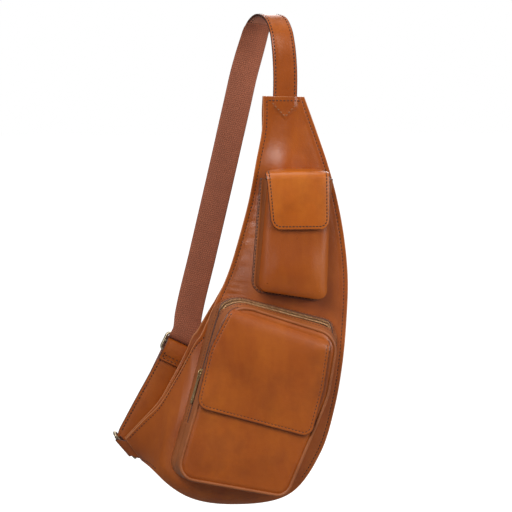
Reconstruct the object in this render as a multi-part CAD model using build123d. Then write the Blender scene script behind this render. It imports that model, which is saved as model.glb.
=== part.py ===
from build123d import *
import math
import os

# A sling bag hung by its strap. All sizes are in millimetres.
# X is to the right as seen from the front, Y is backwards and Z is up.
# The bag is laid out from a datum level with the top of the strap loop, and SHIFT then moves the
# row's origin to the inside of that loop, where it hangs.

LEATHER = 2.0
CLOTH = 0.6
GAP = 0.3
SHIFT = Vector(-11.2, -33.0, 8.6)

# Body panels. Each station crosses the body from its left edge to its right edge:
# left x, left z, right x, right z, depth of the front face, how far the left edge falls back,
# how far the right edge falls back, zip gap at the left edge, thickness, spread of the back edge,
# gap between the two panels at the right edge
STATIONS = [
    (1.4, -92.0, 45.6, -93.0, 0.0, 0.0, 0.0, 3.2, 7.2, 0.0, 3.2),
    (0.5, -127.0, 58.0, -127.0, 0.0, 3.0, 0.0, 9.0, 17.0, 0.0, 2.0),
    (-5.75, -162.5, 70.5, -163.0, 0.0, 5.0, 0.0, 9.5, 21.0, 0.0, 0.3),
    (-12.0, -198.0, 80.5, -199.0, 0.0, 7.0, 0.0, 10.0, 25.0, 0.0, 0.3),
    (-22.0, -237.0, 88.5, -240.0, 0.0, 7.0, 0.0, 10.0, 30.0, 0.0, 0.3),
    (-37.0, -285.0, 93.0, -289.0, 0.0, 7.0, 0.0, 10.0, 34.0, 0.0, 0.3),
    (-50.0, -314.0, 91.7, -335.0, 0.0, 7.0, 0.0, 11.0, 36.0, 0.0, 0.3),
    (-55.0, -325.0, 87.3, -382.0, 0.0, 7.0, 0.0, 12.0, 38.0, 1.0, 0.3),
    (-59.0, -334.0, 79.0, -428.0, 0.0, 7.0, 0.0, 13.0, 38.0, 2.0, 0.3),
    (-63.0, -343.0, 64.0, -476.0, 0.0, 7.0, 1.0, 14.0, 38.0, 3.0, 0.3),
    (-66.0, -349.0, 32.0, -520.0, 0.0, 7.0, 5.0, 14.5, 38.0, 4.0, 0.3),
    (-70.0, -354.0, -28.0, -532.0, 0.0, 7.0, 12.0, 15.0, 38.0, 5.0, 0.3),
    (-74.0, -361.0, -83.0, -521.0, 0.0, 7.0, 12.0, 15.0, 36.0, 6.0, 0.3),
    (-79.0, -372.0, -104.0, -506.0, 0.0, 7.0, 10.0, 15.0, 32.0, 6.0, 0.3),
    (-94.0, -400.0, -111.0, -499.0, 6.0, 7.0, 7.0, 13.0, 28.0, 4.0, 0.3),
    (-108.0, -424.0, -115.0, -495.0, 16.0, 6.0, 4.0, 9.0, 20.0, 2.0, 0.3),
    (-123.0, -442.0, -118.0, -491.0, 33.0, 4.0, 3.0, 7.0, 15.0, 0.0, 4.0),
    (-139.0, -462.0, -121.5, -487.0, 49.0, 0.5, 0.5, 5.4, 10.0, 0.0, 5.4),
]
FLANGE = 6.0
LEFT_ROLL = 13.0
RIGHT_ROLL = 14.0
BACK_ROLL = 35.0
FULL_WIDTH = 62.0
LEFT_STEPS = (0.0, 6.0, 9.0, 12.5, 19.0)
RIGHT_STEPS = (14.0, 10.0, 6.0, 3.0, 0.0)
MIDDLE_STEPS = (0.2, 0.4, 0.6, 0.8)
BACK_LEFT_STEPS = (0.0, 6.0, 12.0, 18.0, 24.0)
BACK_RIGHT_STEPS = (24.0, 18.0, 12.0, 6.0, 0.0)

# Main zip, inside the channel along the left edge
ZIP_INSET = 9.0
CHAIN_SLIT = 1.2
CHAIN_WIDTH = 6.0
CHAIN_THICK = 1.6
TAPE_THICK = 0.6
TAPE_FRONT = 1.9
TAPE_BACK = 0.9
ZIP_FIRST, ZIP_LAST = 1, 15

# Large front pocket
POCKET_BASE = [(-48.0, -302.0), (84.0, -336.0), (70.0, -413.0), (24.0, -519.0), (-101.0, -495.0)]
POCKET_FACE = [(-41.0, -310.0), (76.0, -348.0), (65.0, -412.0), (20.0, -517.5), (-96.0, -494.5)]
POCKET_RADII = (27.0, 22.0, 90.0, 13.0, 16.0)
POCKET_DEPTH = 32.0
PIPING = 2.8
ZIP_CENTRE = -15.0
POCKET_ZIP_END = [(-140.0, -430.0), (140.0, -490.0)]
POCKET_SLIDER = 84.0

# Phone pocket
PHONE_CORNERS = [(2.0, -180.0), (70.0, -180.0), (66.0, -310.0), (-8.6, -298.0)]
PHONE_DEPTH = 27.4
PHONE_FLAP_TOP = -172.0
PHONE_FLAP_LEFT = 2.5
PHONE_FLAP_RIGHT = 68.5
PHONE_FLAP_LOW = -233.0

MAGNET_R = 7.0
MAGNET_THICK = 1.0

# Straps
STRAP_WIDTH = 26.0
WEB_WIDTH = 29.0
WEB_THICK = 1.8
LOWER_WIDTH = 28.5
BAR = 1.6
BUCKLE_WIDTH = 38.0
BUCKLE_PITCH = 9.6
RING_WIDTH = 38.0
RING_PITCH = 12.0


def save(shape, node):
    """Writes one node, with the hang point at the origin."""
    export_step(shape.moved(Location(SHIFT)), f"parts/{node}.step")


def both(parts):
    """Keeps several separate solids together as one node."""
    return Compound(children=list(parts))


def hull(sections):
    """One solid through a row of matching closed outlines."""
    wires = [Wire.make_polygon([Vector(*p) for p in s], close=True) for s in sections]
    return Solid.make_loft(wires, True)


def unit(v):
    return Vector(*v).normalized()


# ---------------------------------------------------------------- body panels


def roll(distance, width):
    """1 at the edge and 0 once past the rolled strip beside it."""
    return max(0.0, 1.0 - max(0.0, distance) / width) ** 2


class Station:
    def __init__(self, row):
        lx, lz, rx, rz, self.depth, self.left_fall, self.right_fall = row[:7]
        self.zip_gap, self.thick, self.spread, self.right_gap = row[7:]
        self.left = Vector(lx, 0, lz)
        self.right = Vector(rx, 0, rz)
        self.width = (self.right - self.left).length
        self.across = (self.right - self.left).normalized()
        self.scale = min(1.0, self.width / FULL_WIDTH)

    def steps(self, left_steps, right_steps, left_extra=0.0):
        """Distances from the left edge, close together beside both edges."""
        left = [d * self.scale - left_extra if d == 0 else d * self.scale for d in left_steps]
        right = [self.width - d * self.scale for d in right_steps]
        middle = [left[-1] + (right[0] - left[-1]) * m for m in MIDDLE_STEPS]
        return left + middle + right

    def front(self, d):
        """Depth of the front panel's outer face at distance d."""
        near = roll(d / self.scale - FLANGE, LEFT_ROLL)
        far = roll((self.width - d) / self.scale, RIGHT_ROLL)
        return self.depth + self.left_fall * near + self.right_fall * far

    def back(self, d):
        """Depth of the back panel's outer face at distance d."""
        full = self.depth + self.thick
        left_edge = self.depth + self.left_fall + 2 * LEATHER + self.zip_gap
        right_edge = self.depth + self.right_fall + 2 * LEATHER + self.right_gap
        near = roll(d / self.scale - FLANGE, BACK_ROLL)
        far = roll((self.width - d) / self.scale - FLANGE, BACK_ROLL)
        return full + (left_edge - full) * near + (right_edge - full) * far

    def at(self, d, y):
        p = self.left + self.across * d
        return (p.X, y, p.Z)

    def sheet(self, distances, depth, low, high):
        """A closed outline between two offsets from a face."""
        outer = [self.at(d, depth(d) + low) for d in distances]
        inner = [self.at(d, depth(d) + high) for d in reversed(distances)]
        return outer + inner

    def chain_y(self):
        return self.depth + self.left_fall + LEATHER + self.zip_gap / 2

    def strip(self, low, high, inset, thick):
        """A narrow outline across the zip channel, from depth low to depth high."""
        a, b = inset - thick / 2, inset + thick / 2
        return [self.at(a, low), self.at(a, high), self.at(b, high), self.at(b, low)]


rows = [Station(r) for r in STATIONS]

front_panel = hull([s.sheet(s.steps(LEFT_STEPS, RIGHT_STEPS), s.front, 0.0, LEATHER) for s in rows])
back_panel = hull(
    [s.sheet(s.steps(BACK_LEFT_STEPS, BACK_RIGHT_STEPS, s.spread), s.back, -LEATHER, 0.0) for s in rows]
)


def lining(left_steps, right_steps, depth, low, high):
    """A lining sheet inside one panel, kept inboard of the zip and of the stitched edge."""
    sections = [s.sheet(s.steps(left_steps, right_steps), depth(s), low, high) for s in rows[1:16]]
    return hull(sections)


front_lining = lining(
    LEFT_STEPS[3:], RIGHT_STEPS[:2], lambda s: s.front, LEATHER + 0.5, LEATHER + 0.5 + CLOTH
)
back_lining = lining(
    BACK_LEFT_STEPS[2:], BACK_RIGHT_STEPS[:3], lambda s: s.back, -LEATHER - 0.7 - CLOTH, -LEATHER - 0.7
)

# ------------------------------------------------------------------- main zip

zip_rows = rows[ZIP_FIRST : ZIP_LAST + 1]
half = CHAIN_WIDTH / 2
slit = CHAIN_SLIT / 2
main_teeth = both(
    [
        hull([s.strip(s.chain_y() - half, s.chain_y() - slit, ZIP_INSET, CHAIN_THICK) for s in zip_rows]),
        hull([s.strip(s.chain_y() + slit, s.chain_y() + half, ZIP_INSET, CHAIN_THICK) for s in zip_rows]),
    ]
)
main_tape_front = hull(
    [
        s.strip(s.chain_y() - half - 0.1 - TAPE_FRONT, s.chain_y() - half - 0.1, ZIP_INSET, TAPE_THICK)
        for s in zip_rows
    ]
)
main_tape_back = hull(
    [
        s.strip(s.chain_y() + half + 0.1, s.chain_y() + half + 0.1 + TAPE_BACK, ZIP_INSET, TAPE_THICK)
        for s in zip_rows
    ]
)


def stop(row, toward):
    """A small metal block that closes one end of the main zip."""
    centre = Vector(*row.at(ZIP_INSET, row.chain_y()))
    return Pos(*(centre + Vector(0, 0, toward))) * Box(2.4, CHAIN_WIDTH, 2.4)


main_stops = both([stop(rows[ZIP_FIRST], 1.6), stop(rows[ZIP_LAST], -3.4)])

# ----------------------------------------------------------- sliders, pullers

SLIDER_LENGTH = 9.0
SLIDER_WIDTH = 8.2
PLATE = 1.0
CHAIN_ROOM = 2.3
ARCH_ROOM = 1.7
PULLER_BAR = 0.6
PULLER_LENGTH = 34.0


def slider(plane):
    """A zip slider in a plane whose X runs down the zip and whose Z points outwards."""
    outer = Pos(0, 0, CHAIN_ROOM / 2 + PLATE / 2) * Box(SLIDER_LENGTH, SLIDER_WIDTH, PLATE)
    inner = Pos(0, 0, -CHAIN_ROOM / 2 - PLATE / 2) * Box(SLIDER_LENGTH, SLIDER_WIDTH, PLATE)
    web = Box(5.0, 0.7, CHAIN_ROOM)
    top = CHAIN_ROOM / 2 + PLATE
    arch = Pos(0, 0, top + (ARCH_ROOM + 0.9) / 2) * Box(6.4, 2.2, ARCH_ROOM + 0.9)
    arch -= Pos(0, 0, top + ARCH_ROOM / 2) * Box(4.2, 3.0, ARCH_ROOM)
    return plane * (outer + inner + web + arch)


def puller(plane):
    """A flat puller that hangs from its cross bar under the slider's arch."""
    level = CHAIN_ROOM / 2 + PLATE + ARCH_ROOM / 2
    bar = Pos(0, 0, level) * Rot(90, 0, 0) * Cylinder(PULLER_BAR, 5.6)
    arms = [Pos(4.0, side * 2.25, level) * Box(8.0, 1.1, 1.2) for side in (-1, 1)]
    tab = Pos((8.0 + PULLER_LENGTH) / 2, 0, level) * Box(PULLER_LENGTH - 8.0, 5.6, 1.2)
    tab -= Pos(PULLER_LENGTH - 4.5, 0, level) * Cylinder(1.3, 3.0)
    return plane * (bar + arms[0] + arms[1] + tab)


chain_top = Vector(*rows[1].at(ZIP_INSET, rows[1].chain_y()))
chain_low = Vector(*rows[3].at(ZIP_INSET, rows[3].chain_y()))
main_down = (chain_low - chain_top).normalized()
main_out = (Vector(-1, 0, 0) - main_down * Vector(-1, 0, 0).dot(main_down)).normalized()
main_plane = Plane(origin=chain_top + main_down * 7.0, x_dir=main_down, z_dir=main_out)

# --------------------------------------------------------------- large pocket


def facing(sketch):
    """Stands an XY sketch up so that its Y becomes Z and it faces the front."""
    return Rot(90, 0, 0) * sketch


def rounded(corners, radii):
    """A closed outline with a radius at every corner."""
    shape = make_face(Polyline(*[(x, z, 0) for x, z in corners], close=True))
    for (x, z), radius in zip(corners, radii):
        corner = min(shape.vertices(), key=lambda v: math.hypot(v.X - x, v.Y - z))
        shape = fillet(corner, radius)
    return shape


def block(outline, near, far):
    """Extrudes an outline forwards, from Y = near to Y = far."""
    return Pos(0, near, 0) * facing(extrude(outline, amount=near - far))


def slab(near, far):
    return Pos(0, (near + far) / 2, -300) * Box(900, near - far, 1200)


def drawn_in(corners, distance):
    """The same clockwise run of corners with every side moved inwards by a distance."""
    found = []
    count = len(corners)
    for i in range(count):
        before, here, after = (corners[(i + k) % count] for k in (-1, 0, 1))
        first = math.atan2(here[1] - before[1], here[0] - before[0])
        second = math.atan2(after[1] - here[1], after[0] - here[0])
        turn = (first - second) % (2 * math.pi)
        reach = distance / math.cos(turn / 2)
        towards = first - turn / 2 - math.pi / 2
        found.append((here[0] + reach * math.cos(towards), here[1] + reach * math.sin(towards)))
    return found


def pocket_outline(fraction, inset):
    """The pocket's outline between its base, 0, and its face, 1, drawn in by a distance."""
    corners = [
        (b[0] + (f[0] - b[0]) * fraction, b[1] + (f[1] - b[1]) * fraction)
        for b, f in zip(POCKET_BASE, POCKET_FACE)
    ]
    radii = [max(1.0, r - inset) for r in POCKET_RADII]
    return rounded(drawn_in(corners, inset), radii)


def pocket_block(inset):
    """The pocket's tapered volume, drawn in by a distance."""
    base = Pos(0, -GAP - 0.1, 0) * facing(pocket_outline(0.0, inset))
    face = Pos(0, -POCKET_DEPTH, 0) * facing(pocket_outline(1.0, inset))
    return loft([base, face], ruled=True)


def front_outline(inset):
    """The pocket's outline at its front, drawn in by a distance."""
    return pocket_outline(1.0, inset)


(ax, az), (bx, bz) = POCKET_ZIP_END
zip_region = block(
    make_face(Polyline((ax, az, 0), (bx, bz, 0), (bx, 0, 0), (ax, 0, 0), close=True)), 5.0, -60.0
)
zip_edge = unit((bx - ax, 0, bz - az))
zip_normal = Vector(-zip_edge.Z, 0, zip_edge.X)
low_region = block(
    make_face(Polyline((ax, az, 0), (bx, bz, 0), (bx, -700, 0), (ax, -700, 0), close=True)), 5.0, -60.0
)
low_region = Pos(*(zip_normal * -GAP)) * low_region

wall = pocket_block(0.0) - pocket_block(LEATHER)
tape_wall = pocket_block(0.7) - pocket_block(0.7 + TAPE_THICK)
chain_wall = pocket_block(0.2) - pocket_block(0.2 + CHAIN_THICK)
zip_wall = zip_region & wall
pocket_gusset = low_region & wall
pocket_band_rear = zip_wall & slab(0.0, ZIP_CENTRE + 5.6)
pocket_band_front = zip_wall & slab(ZIP_CENTRE - 5.6, -POCKET_DEPTH - 1)
zip_tape_wall = zip_region & tape_wall
pocket_tape = both(
    [
        zip_tape_wall & slab(ZIP_CENTRE + 5.4, ZIP_CENTRE + 3.2),
        zip_tape_wall & slab(ZIP_CENTRE - 3.2, ZIP_CENTRE - 5.4),
    ]
)
zip_chain_wall = zip_region & chain_wall
pocket_teeth = both(
    [
        zip_chain_wall & slab(ZIP_CENTRE + half, ZIP_CENTRE + slit),
        zip_chain_wall & slab(ZIP_CENTRE - slit, ZIP_CENTRE - half),
    ]
)
pocket_front = block(front_outline(0.0), -POCKET_DEPTH - GAP, -POCKET_DEPTH - GAP - LEATHER)
piping_outline = front_outline(-PIPING) - front_outline(-0.3)
pocket_piping = block(piping_outline, -POCKET_DEPTH - 0.1, -POCKET_DEPTH - 0.1 - PIPING)
lining_outer = pocket_block(LEATHER + 0.4) & slab(-1.0, -POCKET_DEPTH + 0.4)
lining_inner = pocket_block(LEATHER + 0.4 + CLOTH) & slab(-1.0 - CLOTH, -POCKET_DEPTH + 0.4 + CLOTH)
zip_mouth = slab(ZIP_CENTRE + 5.4, ZIP_CENTRE - 5.4) & zip_region
pocket_core = pocket_block(LEATHER + 9.0)
pocket_lining = lining_outer - lining_inner - (zip_mouth - pocket_core)

base_top, base_low = (Vector(POCKET_BASE[i][0], 0, POCKET_BASE[i][1]) for i in (0, 4))
face_top, face_low = (Vector(POCKET_FACE[i][0], -POCKET_DEPTH, POCKET_FACE[i][1]) for i in (0, 4))
zip_fraction = -ZIP_CENTRE / POCKET_DEPTH
zip_top = base_top + (face_top - base_top) * zip_fraction
zip_low = base_low + (face_low - base_low) * zip_fraction
side = (zip_low - zip_top).normalized()
pocket_out = (face_top - base_top).cross(side).normalized()
if pocket_out.X > 0:
    pocket_out = pocket_out * -1
on_side = zip_top + side * POCKET_SLIDER
level_out = Vector(pocket_out.X, 0, pocket_out.Z).normalized()
pocket_plane = Plane(origin=on_side - level_out * (0.2 + CHAIN_THICK / 2), x_dir=side, z_dir=pocket_out)

# Flap of the large pocket
FLAP_CORNERS = [
    (-38.0, -312.0),
    (69.0, -349.0),
    (61.0, -402.0),
    (47.0, -455.0),
    (-77.0, -420.0),
    (-62.0, -358.0),
]
FLAP_RADII = (14.0, 10.0, 60.0, 11.0, 12.0, 60.0)
flap_outline = rounded(FLAP_CORNERS, FLAP_RADII)
FRONT_FACE = -POCKET_DEPTH - GAP - LEATHER
FEMALE = FRONT_FACE - 0.2
MALE = FEMALE - MAGNET_THICK - 0.25
FLAP_LINING = MALE - MAGNET_THICK - 0.2
FLAP = FLAP_LINING - CLOTH - 0.2
pocket_flap = block(flap_outline, FLAP, FLAP - LEATHER)
pocket_flap_lining = block(offset(flap_outline, -1.5), FLAP_LINING, FLAP_LINING - CLOTH)


def magnet(x, z, near):
    """A thin round magnet with its rear face at Y = near."""
    return Pos(x, near - MAGNET_THICK / 2, z) * Rot(90, 0, 0) * Cylinder(MAGNET_R, MAGNET_THICK)


pocket_magnet_female = magnet(-6.0, -432.0, FEMALE)
pocket_magnet_male = magnet(-6.0, -432.0, MALE)

# --------------------------------------------------------------- phone pocket

phone_outline = make_face(Polyline(*[(x, z, 0) for x, z in PHONE_CORNERS], close=True))
phone_outline = fillet(phone_outline.vertices().sort_by(Axis.Y)[:2], 7.0)


def phone_block(inset, near, far):
    return block(offset(phone_outline, -inset), near, far)


def open_top(inset, near, far):
    """The pocket's inside volume, carried up through its mouth."""
    inside = offset(phone_outline, -inset)
    raised = Pos(0, 30, 0) * inside
    return block(inside + raised, near, far)


phone_gusset = phone_block(0.0, -GAP - 0.1, -PHONE_DEPTH) - open_top(LEATHER, 5.0, -40.0)
phone_front = phone_block(0.0, -PHONE_DEPTH - GAP, -PHONE_DEPTH - GAP - LEATHER)
phone_lining = phone_block(LEATHER + GAP, -0.7, -PHONE_DEPTH) - open_top(
    LEATHER + GAP + CLOTH, -0.7 - CLOTH, -PHONE_DEPTH + CLOTH
)
phone_face = -PHONE_DEPTH - GAP - LEATHER
phone_female_near = phone_face - 0.2
phone_male_near = phone_female_near - MAGNET_THICK - 0.25
phone_flap_lining_near = phone_male_near - MAGNET_THICK - 0.2
phone_flap_near = phone_flap_lining_near - CLOTH - 0.2
phone_magnet_female = magnet(34.0, -218.0, phone_female_near)
phone_magnet_male = magnet(34.0, -218.0, phone_male_near)


def angled_flap(left, right, low, top, near, thick, rear):
    """A flap that runs forwards over the pocket's mouth, then down its front."""
    front = make_face(
        Polyline((left, top, 0), (right, top, 0), (right, low, 0), (left + 4.0, low, 0), close=True)
    )
    front = fillet(front.vertices().sort_by(Axis.Y)[:2], 11.0)
    hanging = block(front, near, near - thick)
    roof = Pos((left + right) / 2, (rear + near - thick) / 2, top - thick / 2) * Box(
        right - left, rear - near + thick, thick
    )
    return hanging + roof


phone_flap = angled_flap(
    PHONE_FLAP_LEFT, PHONE_FLAP_RIGHT, PHONE_FLAP_LOW, PHONE_FLAP_TOP, phone_flap_near, LEATHER, -0.5
)
phone_flap_lining = angled_flap(
    PHONE_FLAP_LEFT + 1.5,
    PHONE_FLAP_RIGHT - 1.5,
    PHONE_FLAP_LOW + 1.5,
    PHONE_FLAP_TOP - LEATHER - 0.2,
    phone_flap_lining_near,
    CLOTH,
    -2.0,
)

# --------------------------------------------------------------------- straps


def ribbon(path, width, thick, lift=0.0):
    """A flat strap. Each path row is a centre point and the direction across the strap."""
    points = [Vector(*p) for p, _ in path]
    sections = []
    for i, (_, across) in enumerate(path):
        before = points[max(i - 1, 0)]
        after = points[min(i + 1, len(points) - 1)]
        along = (after - before).normalized()
        wide = unit(across)
        wide = (wide - along * wide.dot(along)).normalized()
        normal = along.cross(wide).normalized()
        centre = points[i] + normal * lift
        a, b = wide * (width / 2), normal * (thick / 2)
        corners = [centre - a - b, centre + a - b, centre + a + b, centre - a + b]
        sections.append([(c.X, c.Y, c.Z) for c in corners])
    return hull(sections)


def arc_rows(centre, radius, first, last, count, u, v, across):
    """Path rows round an arc in the plane of u and v, from one angle to another."""
    found = []
    for i in range(count):
        angle = math.radians(first + (last - first) * i / (count - 1))
        p = centre + u * (radius * math.cos(angle)) + v * (radius * math.sin(angle))
        found.append(((p.X, p.Y, p.Z), (across.X, across.Y, across.Z)))
    return found


TOP_PATH = [
    ((24.6, 3.6, -104.0), (1.0, 0.0, 0.0)),
    ((25.2, 3.6, -92.0), (1.0, 0.0, 0.0)),
    ((25.2, 4.0, -60.0), (1.0, 0.02, 0.0)),
    ((23.6, 5.4, -38.0), (0.99, 0.12, 0.0)),
    ((21.4, 9.8, -22.0), (0.97, 0.24, 0.05)),
    ((18.2, 17.5, -11.5), (0.94, 0.34, 0.05)),
    ((14.2, 26.5, -6.8), (0.92, 0.38, 0.0)),
    ((9.6, 36.5, -6.6), (0.92, 0.38, -0.05)),
    ((5.2, 46.0, -11.5), (0.93, 0.34, -0.1)),
    ((1.6, 53.6, -20.0), (0.94, 0.26, -0.15)),
    ((-1.6, 58.0, -32.0), (0.96, 0.16, -0.18)),
    ((-5.6, 60.4, -48.0), (0.97, 0.06, -0.2)),
    ((-9.6, 61.2, -66.0), (0.975, 0.02, -0.22)),
    ((-13.4, 61.2, -84.0), (0.975, 0.0, -0.22)),
]
LINING_LIFT = LEATHER / 2 + GAP + 0.5
top_strap = ribbon(TOP_PATH, STRAP_WIDTH, LEATHER)
point_end = Pos(0, 3.6, 0) * facing(
    extrude(
        make_face(Polyline((11.6, -103.8, 0), (37.6, -103.8, 0), (24.6, -118.0, 0), close=True)),
        amount=LEATHER / 2,
        both=True,
    )
)
top_strap = top_strap + point_end
top_strap_lining = ribbon(TOP_PATH[2:11], STRAP_WIDTH - 1.0, 1.0, LINING_LIFT)

buckle_centre = Vector(-82.6, 60.0, -364.8)
buckle_across = unit((0.899, 0.0, -0.438))
buckle_up = unit((0.438, 0.0, 0.899))
depthwise = Vector(0, 1, 0)


def on_buckle(up, y):
    p = buckle_centre + buckle_up * up + depthwise * y
    return ((p.X, p.Y, p.Z), (buckle_across.X, buckle_across.Y, buckle_across.Z))


web_path = [
    ((-1.6, 54.9, -34.2), (0.96, 0.16, -0.18)),
    ((-5.4, 58.0, -48.6), (0.97, 0.06, -0.2)),
    ((-9.6, 58.9, -66.0), (0.975, 0.02, -0.22)),
    ((-17.3, 58.9, -101.0), (0.975, 0.0, -0.22)),
    ((-36.0, 58.5, -183.0), (0.975, 0.0, -0.23)),
    ((-55.0, 58.0, -266.0), (0.97, 0.0, -0.26)),
    ((-70.0, 57.4, -331.0), (0.93, 0.0, -0.37)),
    on_buckle(16.0, -4.2),
    on_buckle(11.4, -4.1),
    on_buckle(7.8, -2.8),
    on_buckle(5.9, 0.6),
    on_buckle(5.2, 3.4),
    on_buckle(3.6, 5.4),
    on_buckle(0.0, 6.7),
    on_buckle(-6.0, 6.9),
    on_buckle(-12.0, 6.9),
    on_buckle(-40.0, 7.4),
    on_buckle(-78.0, 8.4),
]
webbing = ribbon(web_path, WEB_WIDTH - 1.0, WEB_THICK)
hem_path = [on_buckle(-66.0, 10.6), on_buckle(-78.0, 11.0)]
webbing_hem = ribbon(hem_path, WEB_WIDTH - 1.0, WEB_THICK)

# Adjuster: a frame with a centre bar
frame_plane = Plane(origin=buckle_centre, x_dir=buckle_across, z_dir=-depthwise)
long_bar = Rot(0, 90, 0) * Cylinder(BAR, BUCKLE_WIDTH)
end_bar = Rot(90, 0, 0) * Cylinder(BAR, 2 * BUCKLE_PITCH)
buckle_solid = Pos(0, BUCKLE_PITCH, 0) * long_bar + Pos(0, -BUCKLE_PITCH, 0) * long_bar + long_bar
for x in (-1, 1):
    buckle_solid += Pos(x * (BUCKLE_WIDTH / 2 - BAR), 0, 0) * end_bar
adjuster = frame_plane * buckle_solid

# Ring at the tail
ring_across = unit((0.72, 0.0, -0.694))
ring_slope = unit((0.694 * 0.55, 0.83, 0.72 * 0.55))
ring_front = Vector(-141.0, 60.0, -471.5)
ring_centre = ring_front + ring_slope * (RING_PITCH / 2)
ring_normal = ring_across.cross(ring_slope).normalized()
ring_plane = Plane(origin=ring_centre, x_dir=ring_across, z_dir=ring_normal)
ring_solid = Pos(0, RING_PITCH / 2, 0) * (Rot(0, 90, 0) * Cylinder(BAR, RING_WIDTH))
ring_solid += Pos(0, -RING_PITCH / 2, 0) * (Rot(0, 90, 0) * Cylinder(BAR, RING_WIDTH))
for x in (-1, 1):
    ring_solid += Pos(x * (RING_WIDTH / 2 - BAR), 0, 0) * (Rot(90, 0, 0) * Cylinder(BAR, RING_PITCH))
lower_ring = ring_plane * ring_solid
ring_back = ring_centre + ring_slope * (RING_PITCH / 2)

# Lower strap: looped round the adjuster's centre bar at one end and the ring at the other
LOOP = BAR + 0.9 + LEATHER / 2
strap_rise = ring_across.cross(Vector(0, 1, 0)).normalized()
if strap_rise.Z < 0:
    strap_rise = strap_rise * -1


def along_lower(fraction, y):
    """A point on the straight run between the adjuster and the ring, with its width direction."""
    top = buckle_centre - buckle_up * 26.0
    low = ring_back + strap_rise * 16.0
    p = top + (low - top) * fraction
    wide = (buckle_across * (1 - fraction) + ring_across * fraction).normalized()
    return ((p.X, y, p.Z), (wide.X, wide.Y, wide.Z))


def on_ring(up, y):
    p = ring_back + strap_rise * up
    return ((p.X, ring_back.Y + y, p.Z), (ring_across.X, ring_across.Y, ring_across.Z))


buckle_loop = arc_rows(buckle_centre, LOOP, 180.0, 0.0, 7, depthwise, buckle_up, buckle_across)
ring_loop = arc_rows(ring_back, LOOP, 180.0, 360.0, 7, depthwise, strap_rise, ring_across)
lower_path = [on_buckle(-21.0, -0.2), on_buckle(-17.0, -0.9), on_buckle(-12.5, -LOOP)]
lower_path += buckle_loop
lower_path += [on_buckle(-12.5, LOOP), on_buckle(-20.0, LOOP - 0.8)]
lower_path += [along_lower(f, 62.4 + (ring_back.Y - LOOP - 62.4) * f) for f in (0.25, 0.5, 0.75)]
lower_path += [on_ring(9.0, -LOOP)]
lower_path += ring_loop
lower_path += [on_ring(9.0, LOOP), on_ring(24.0, LOOP - 1.0)]
lower_strap = ribbon(lower_path, LOWER_WIDTH, LEATHER)

# Tail tab: looped round the ring's front bar and held between the panels
tail = rows[-1]
before_tail = rows[-2]
tail_mid = Vector(*tail.at(tail.width / 2, tail.depth + tail.thick / 2))
inner_mid = Vector(*before_tail.at(before_tail.width / 2, before_tail.depth + LEATHER + 3.6))
tail_run = (tail_mid - inner_mid).normalized()
tab_loop = BAR + 0.6 + LEATHER / 2
tab_reach = ring_front - tail_mid
tab_into = (tab_reach - ring_across * tab_reach.dot(ring_across)).normalized()
tab_up = tab_into.cross(ring_across).normalized()
tab_rows = arc_rows(ring_front, tab_loop, 100.0, -140.0, 9, tab_into, tab_up, ring_across)
tab_path = [
    (tuple(tail_mid + tail_run * reach), tuple(tail.across)) for reach in (-2.0, 1.5)
]
tab_path += tab_rows
tail_tab = ribbon(tab_path, 24.0, 1.6)

NODES = {
    "front_panel": front_panel,
    "back_panel": back_panel,
    "front_lining": front_lining,
    "back_lining": back_lining,
    "main_zip_tape_front": main_tape_front,
    "main_zip_tape_back": main_tape_back,
    "main_zip_teeth": main_teeth,
    "main_zip_stops": main_stops,
    "main_zip_slider": slider(main_plane),
    "main_zip_puller": puller(main_plane),
    "top_strap": top_strap,
    "top_strap_lining": top_strap_lining,
    "webbing": webbing,
    "webbing_hem": webbing_hem,
    "lower_strap": lower_strap,
    "tail_tab": tail_tab,
    "adjuster_buckle": adjuster,
    "lower_ring": lower_ring,
    "pocket_front": pocket_front,
    "pocket_gusset": pocket_gusset,
    "pocket_zip_band_rear": pocket_band_rear,
    "pocket_zip_band_front": pocket_band_front,
    "pocket_zip_tape": pocket_tape,
    "pocket_zip_teeth": pocket_teeth,
    "pocket_zip_slider": slider(pocket_plane),
    "pocket_zip_puller": puller(pocket_plane),
    "pocket_piping": pocket_piping,
    "pocket_lining": pocket_lining,
    "pocket_flap": pocket_flap,
    "pocket_flap_lining": pocket_flap_lining,
    "pocket_magnet_male": pocket_magnet_male,
    "pocket_magnet_female": pocket_magnet_female,
    "phone_pocket_front": phone_front,
    "phone_pocket_gusset": phone_gusset,
    "phone_pocket_lining": phone_lining,
    "phone_flap": phone_flap,
    "phone_flap_lining": phone_flap_lining,
    "phone_magnet_male": phone_magnet_male,
    "phone_magnet_female": phone_magnet_female,
}

os.makedirs("parts", exist_ok=True)
for node, shape in NODES.items():
    save(shape, node)
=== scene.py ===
import math

import bmesh
import bpy
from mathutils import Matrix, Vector, kdtree, noise


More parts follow.
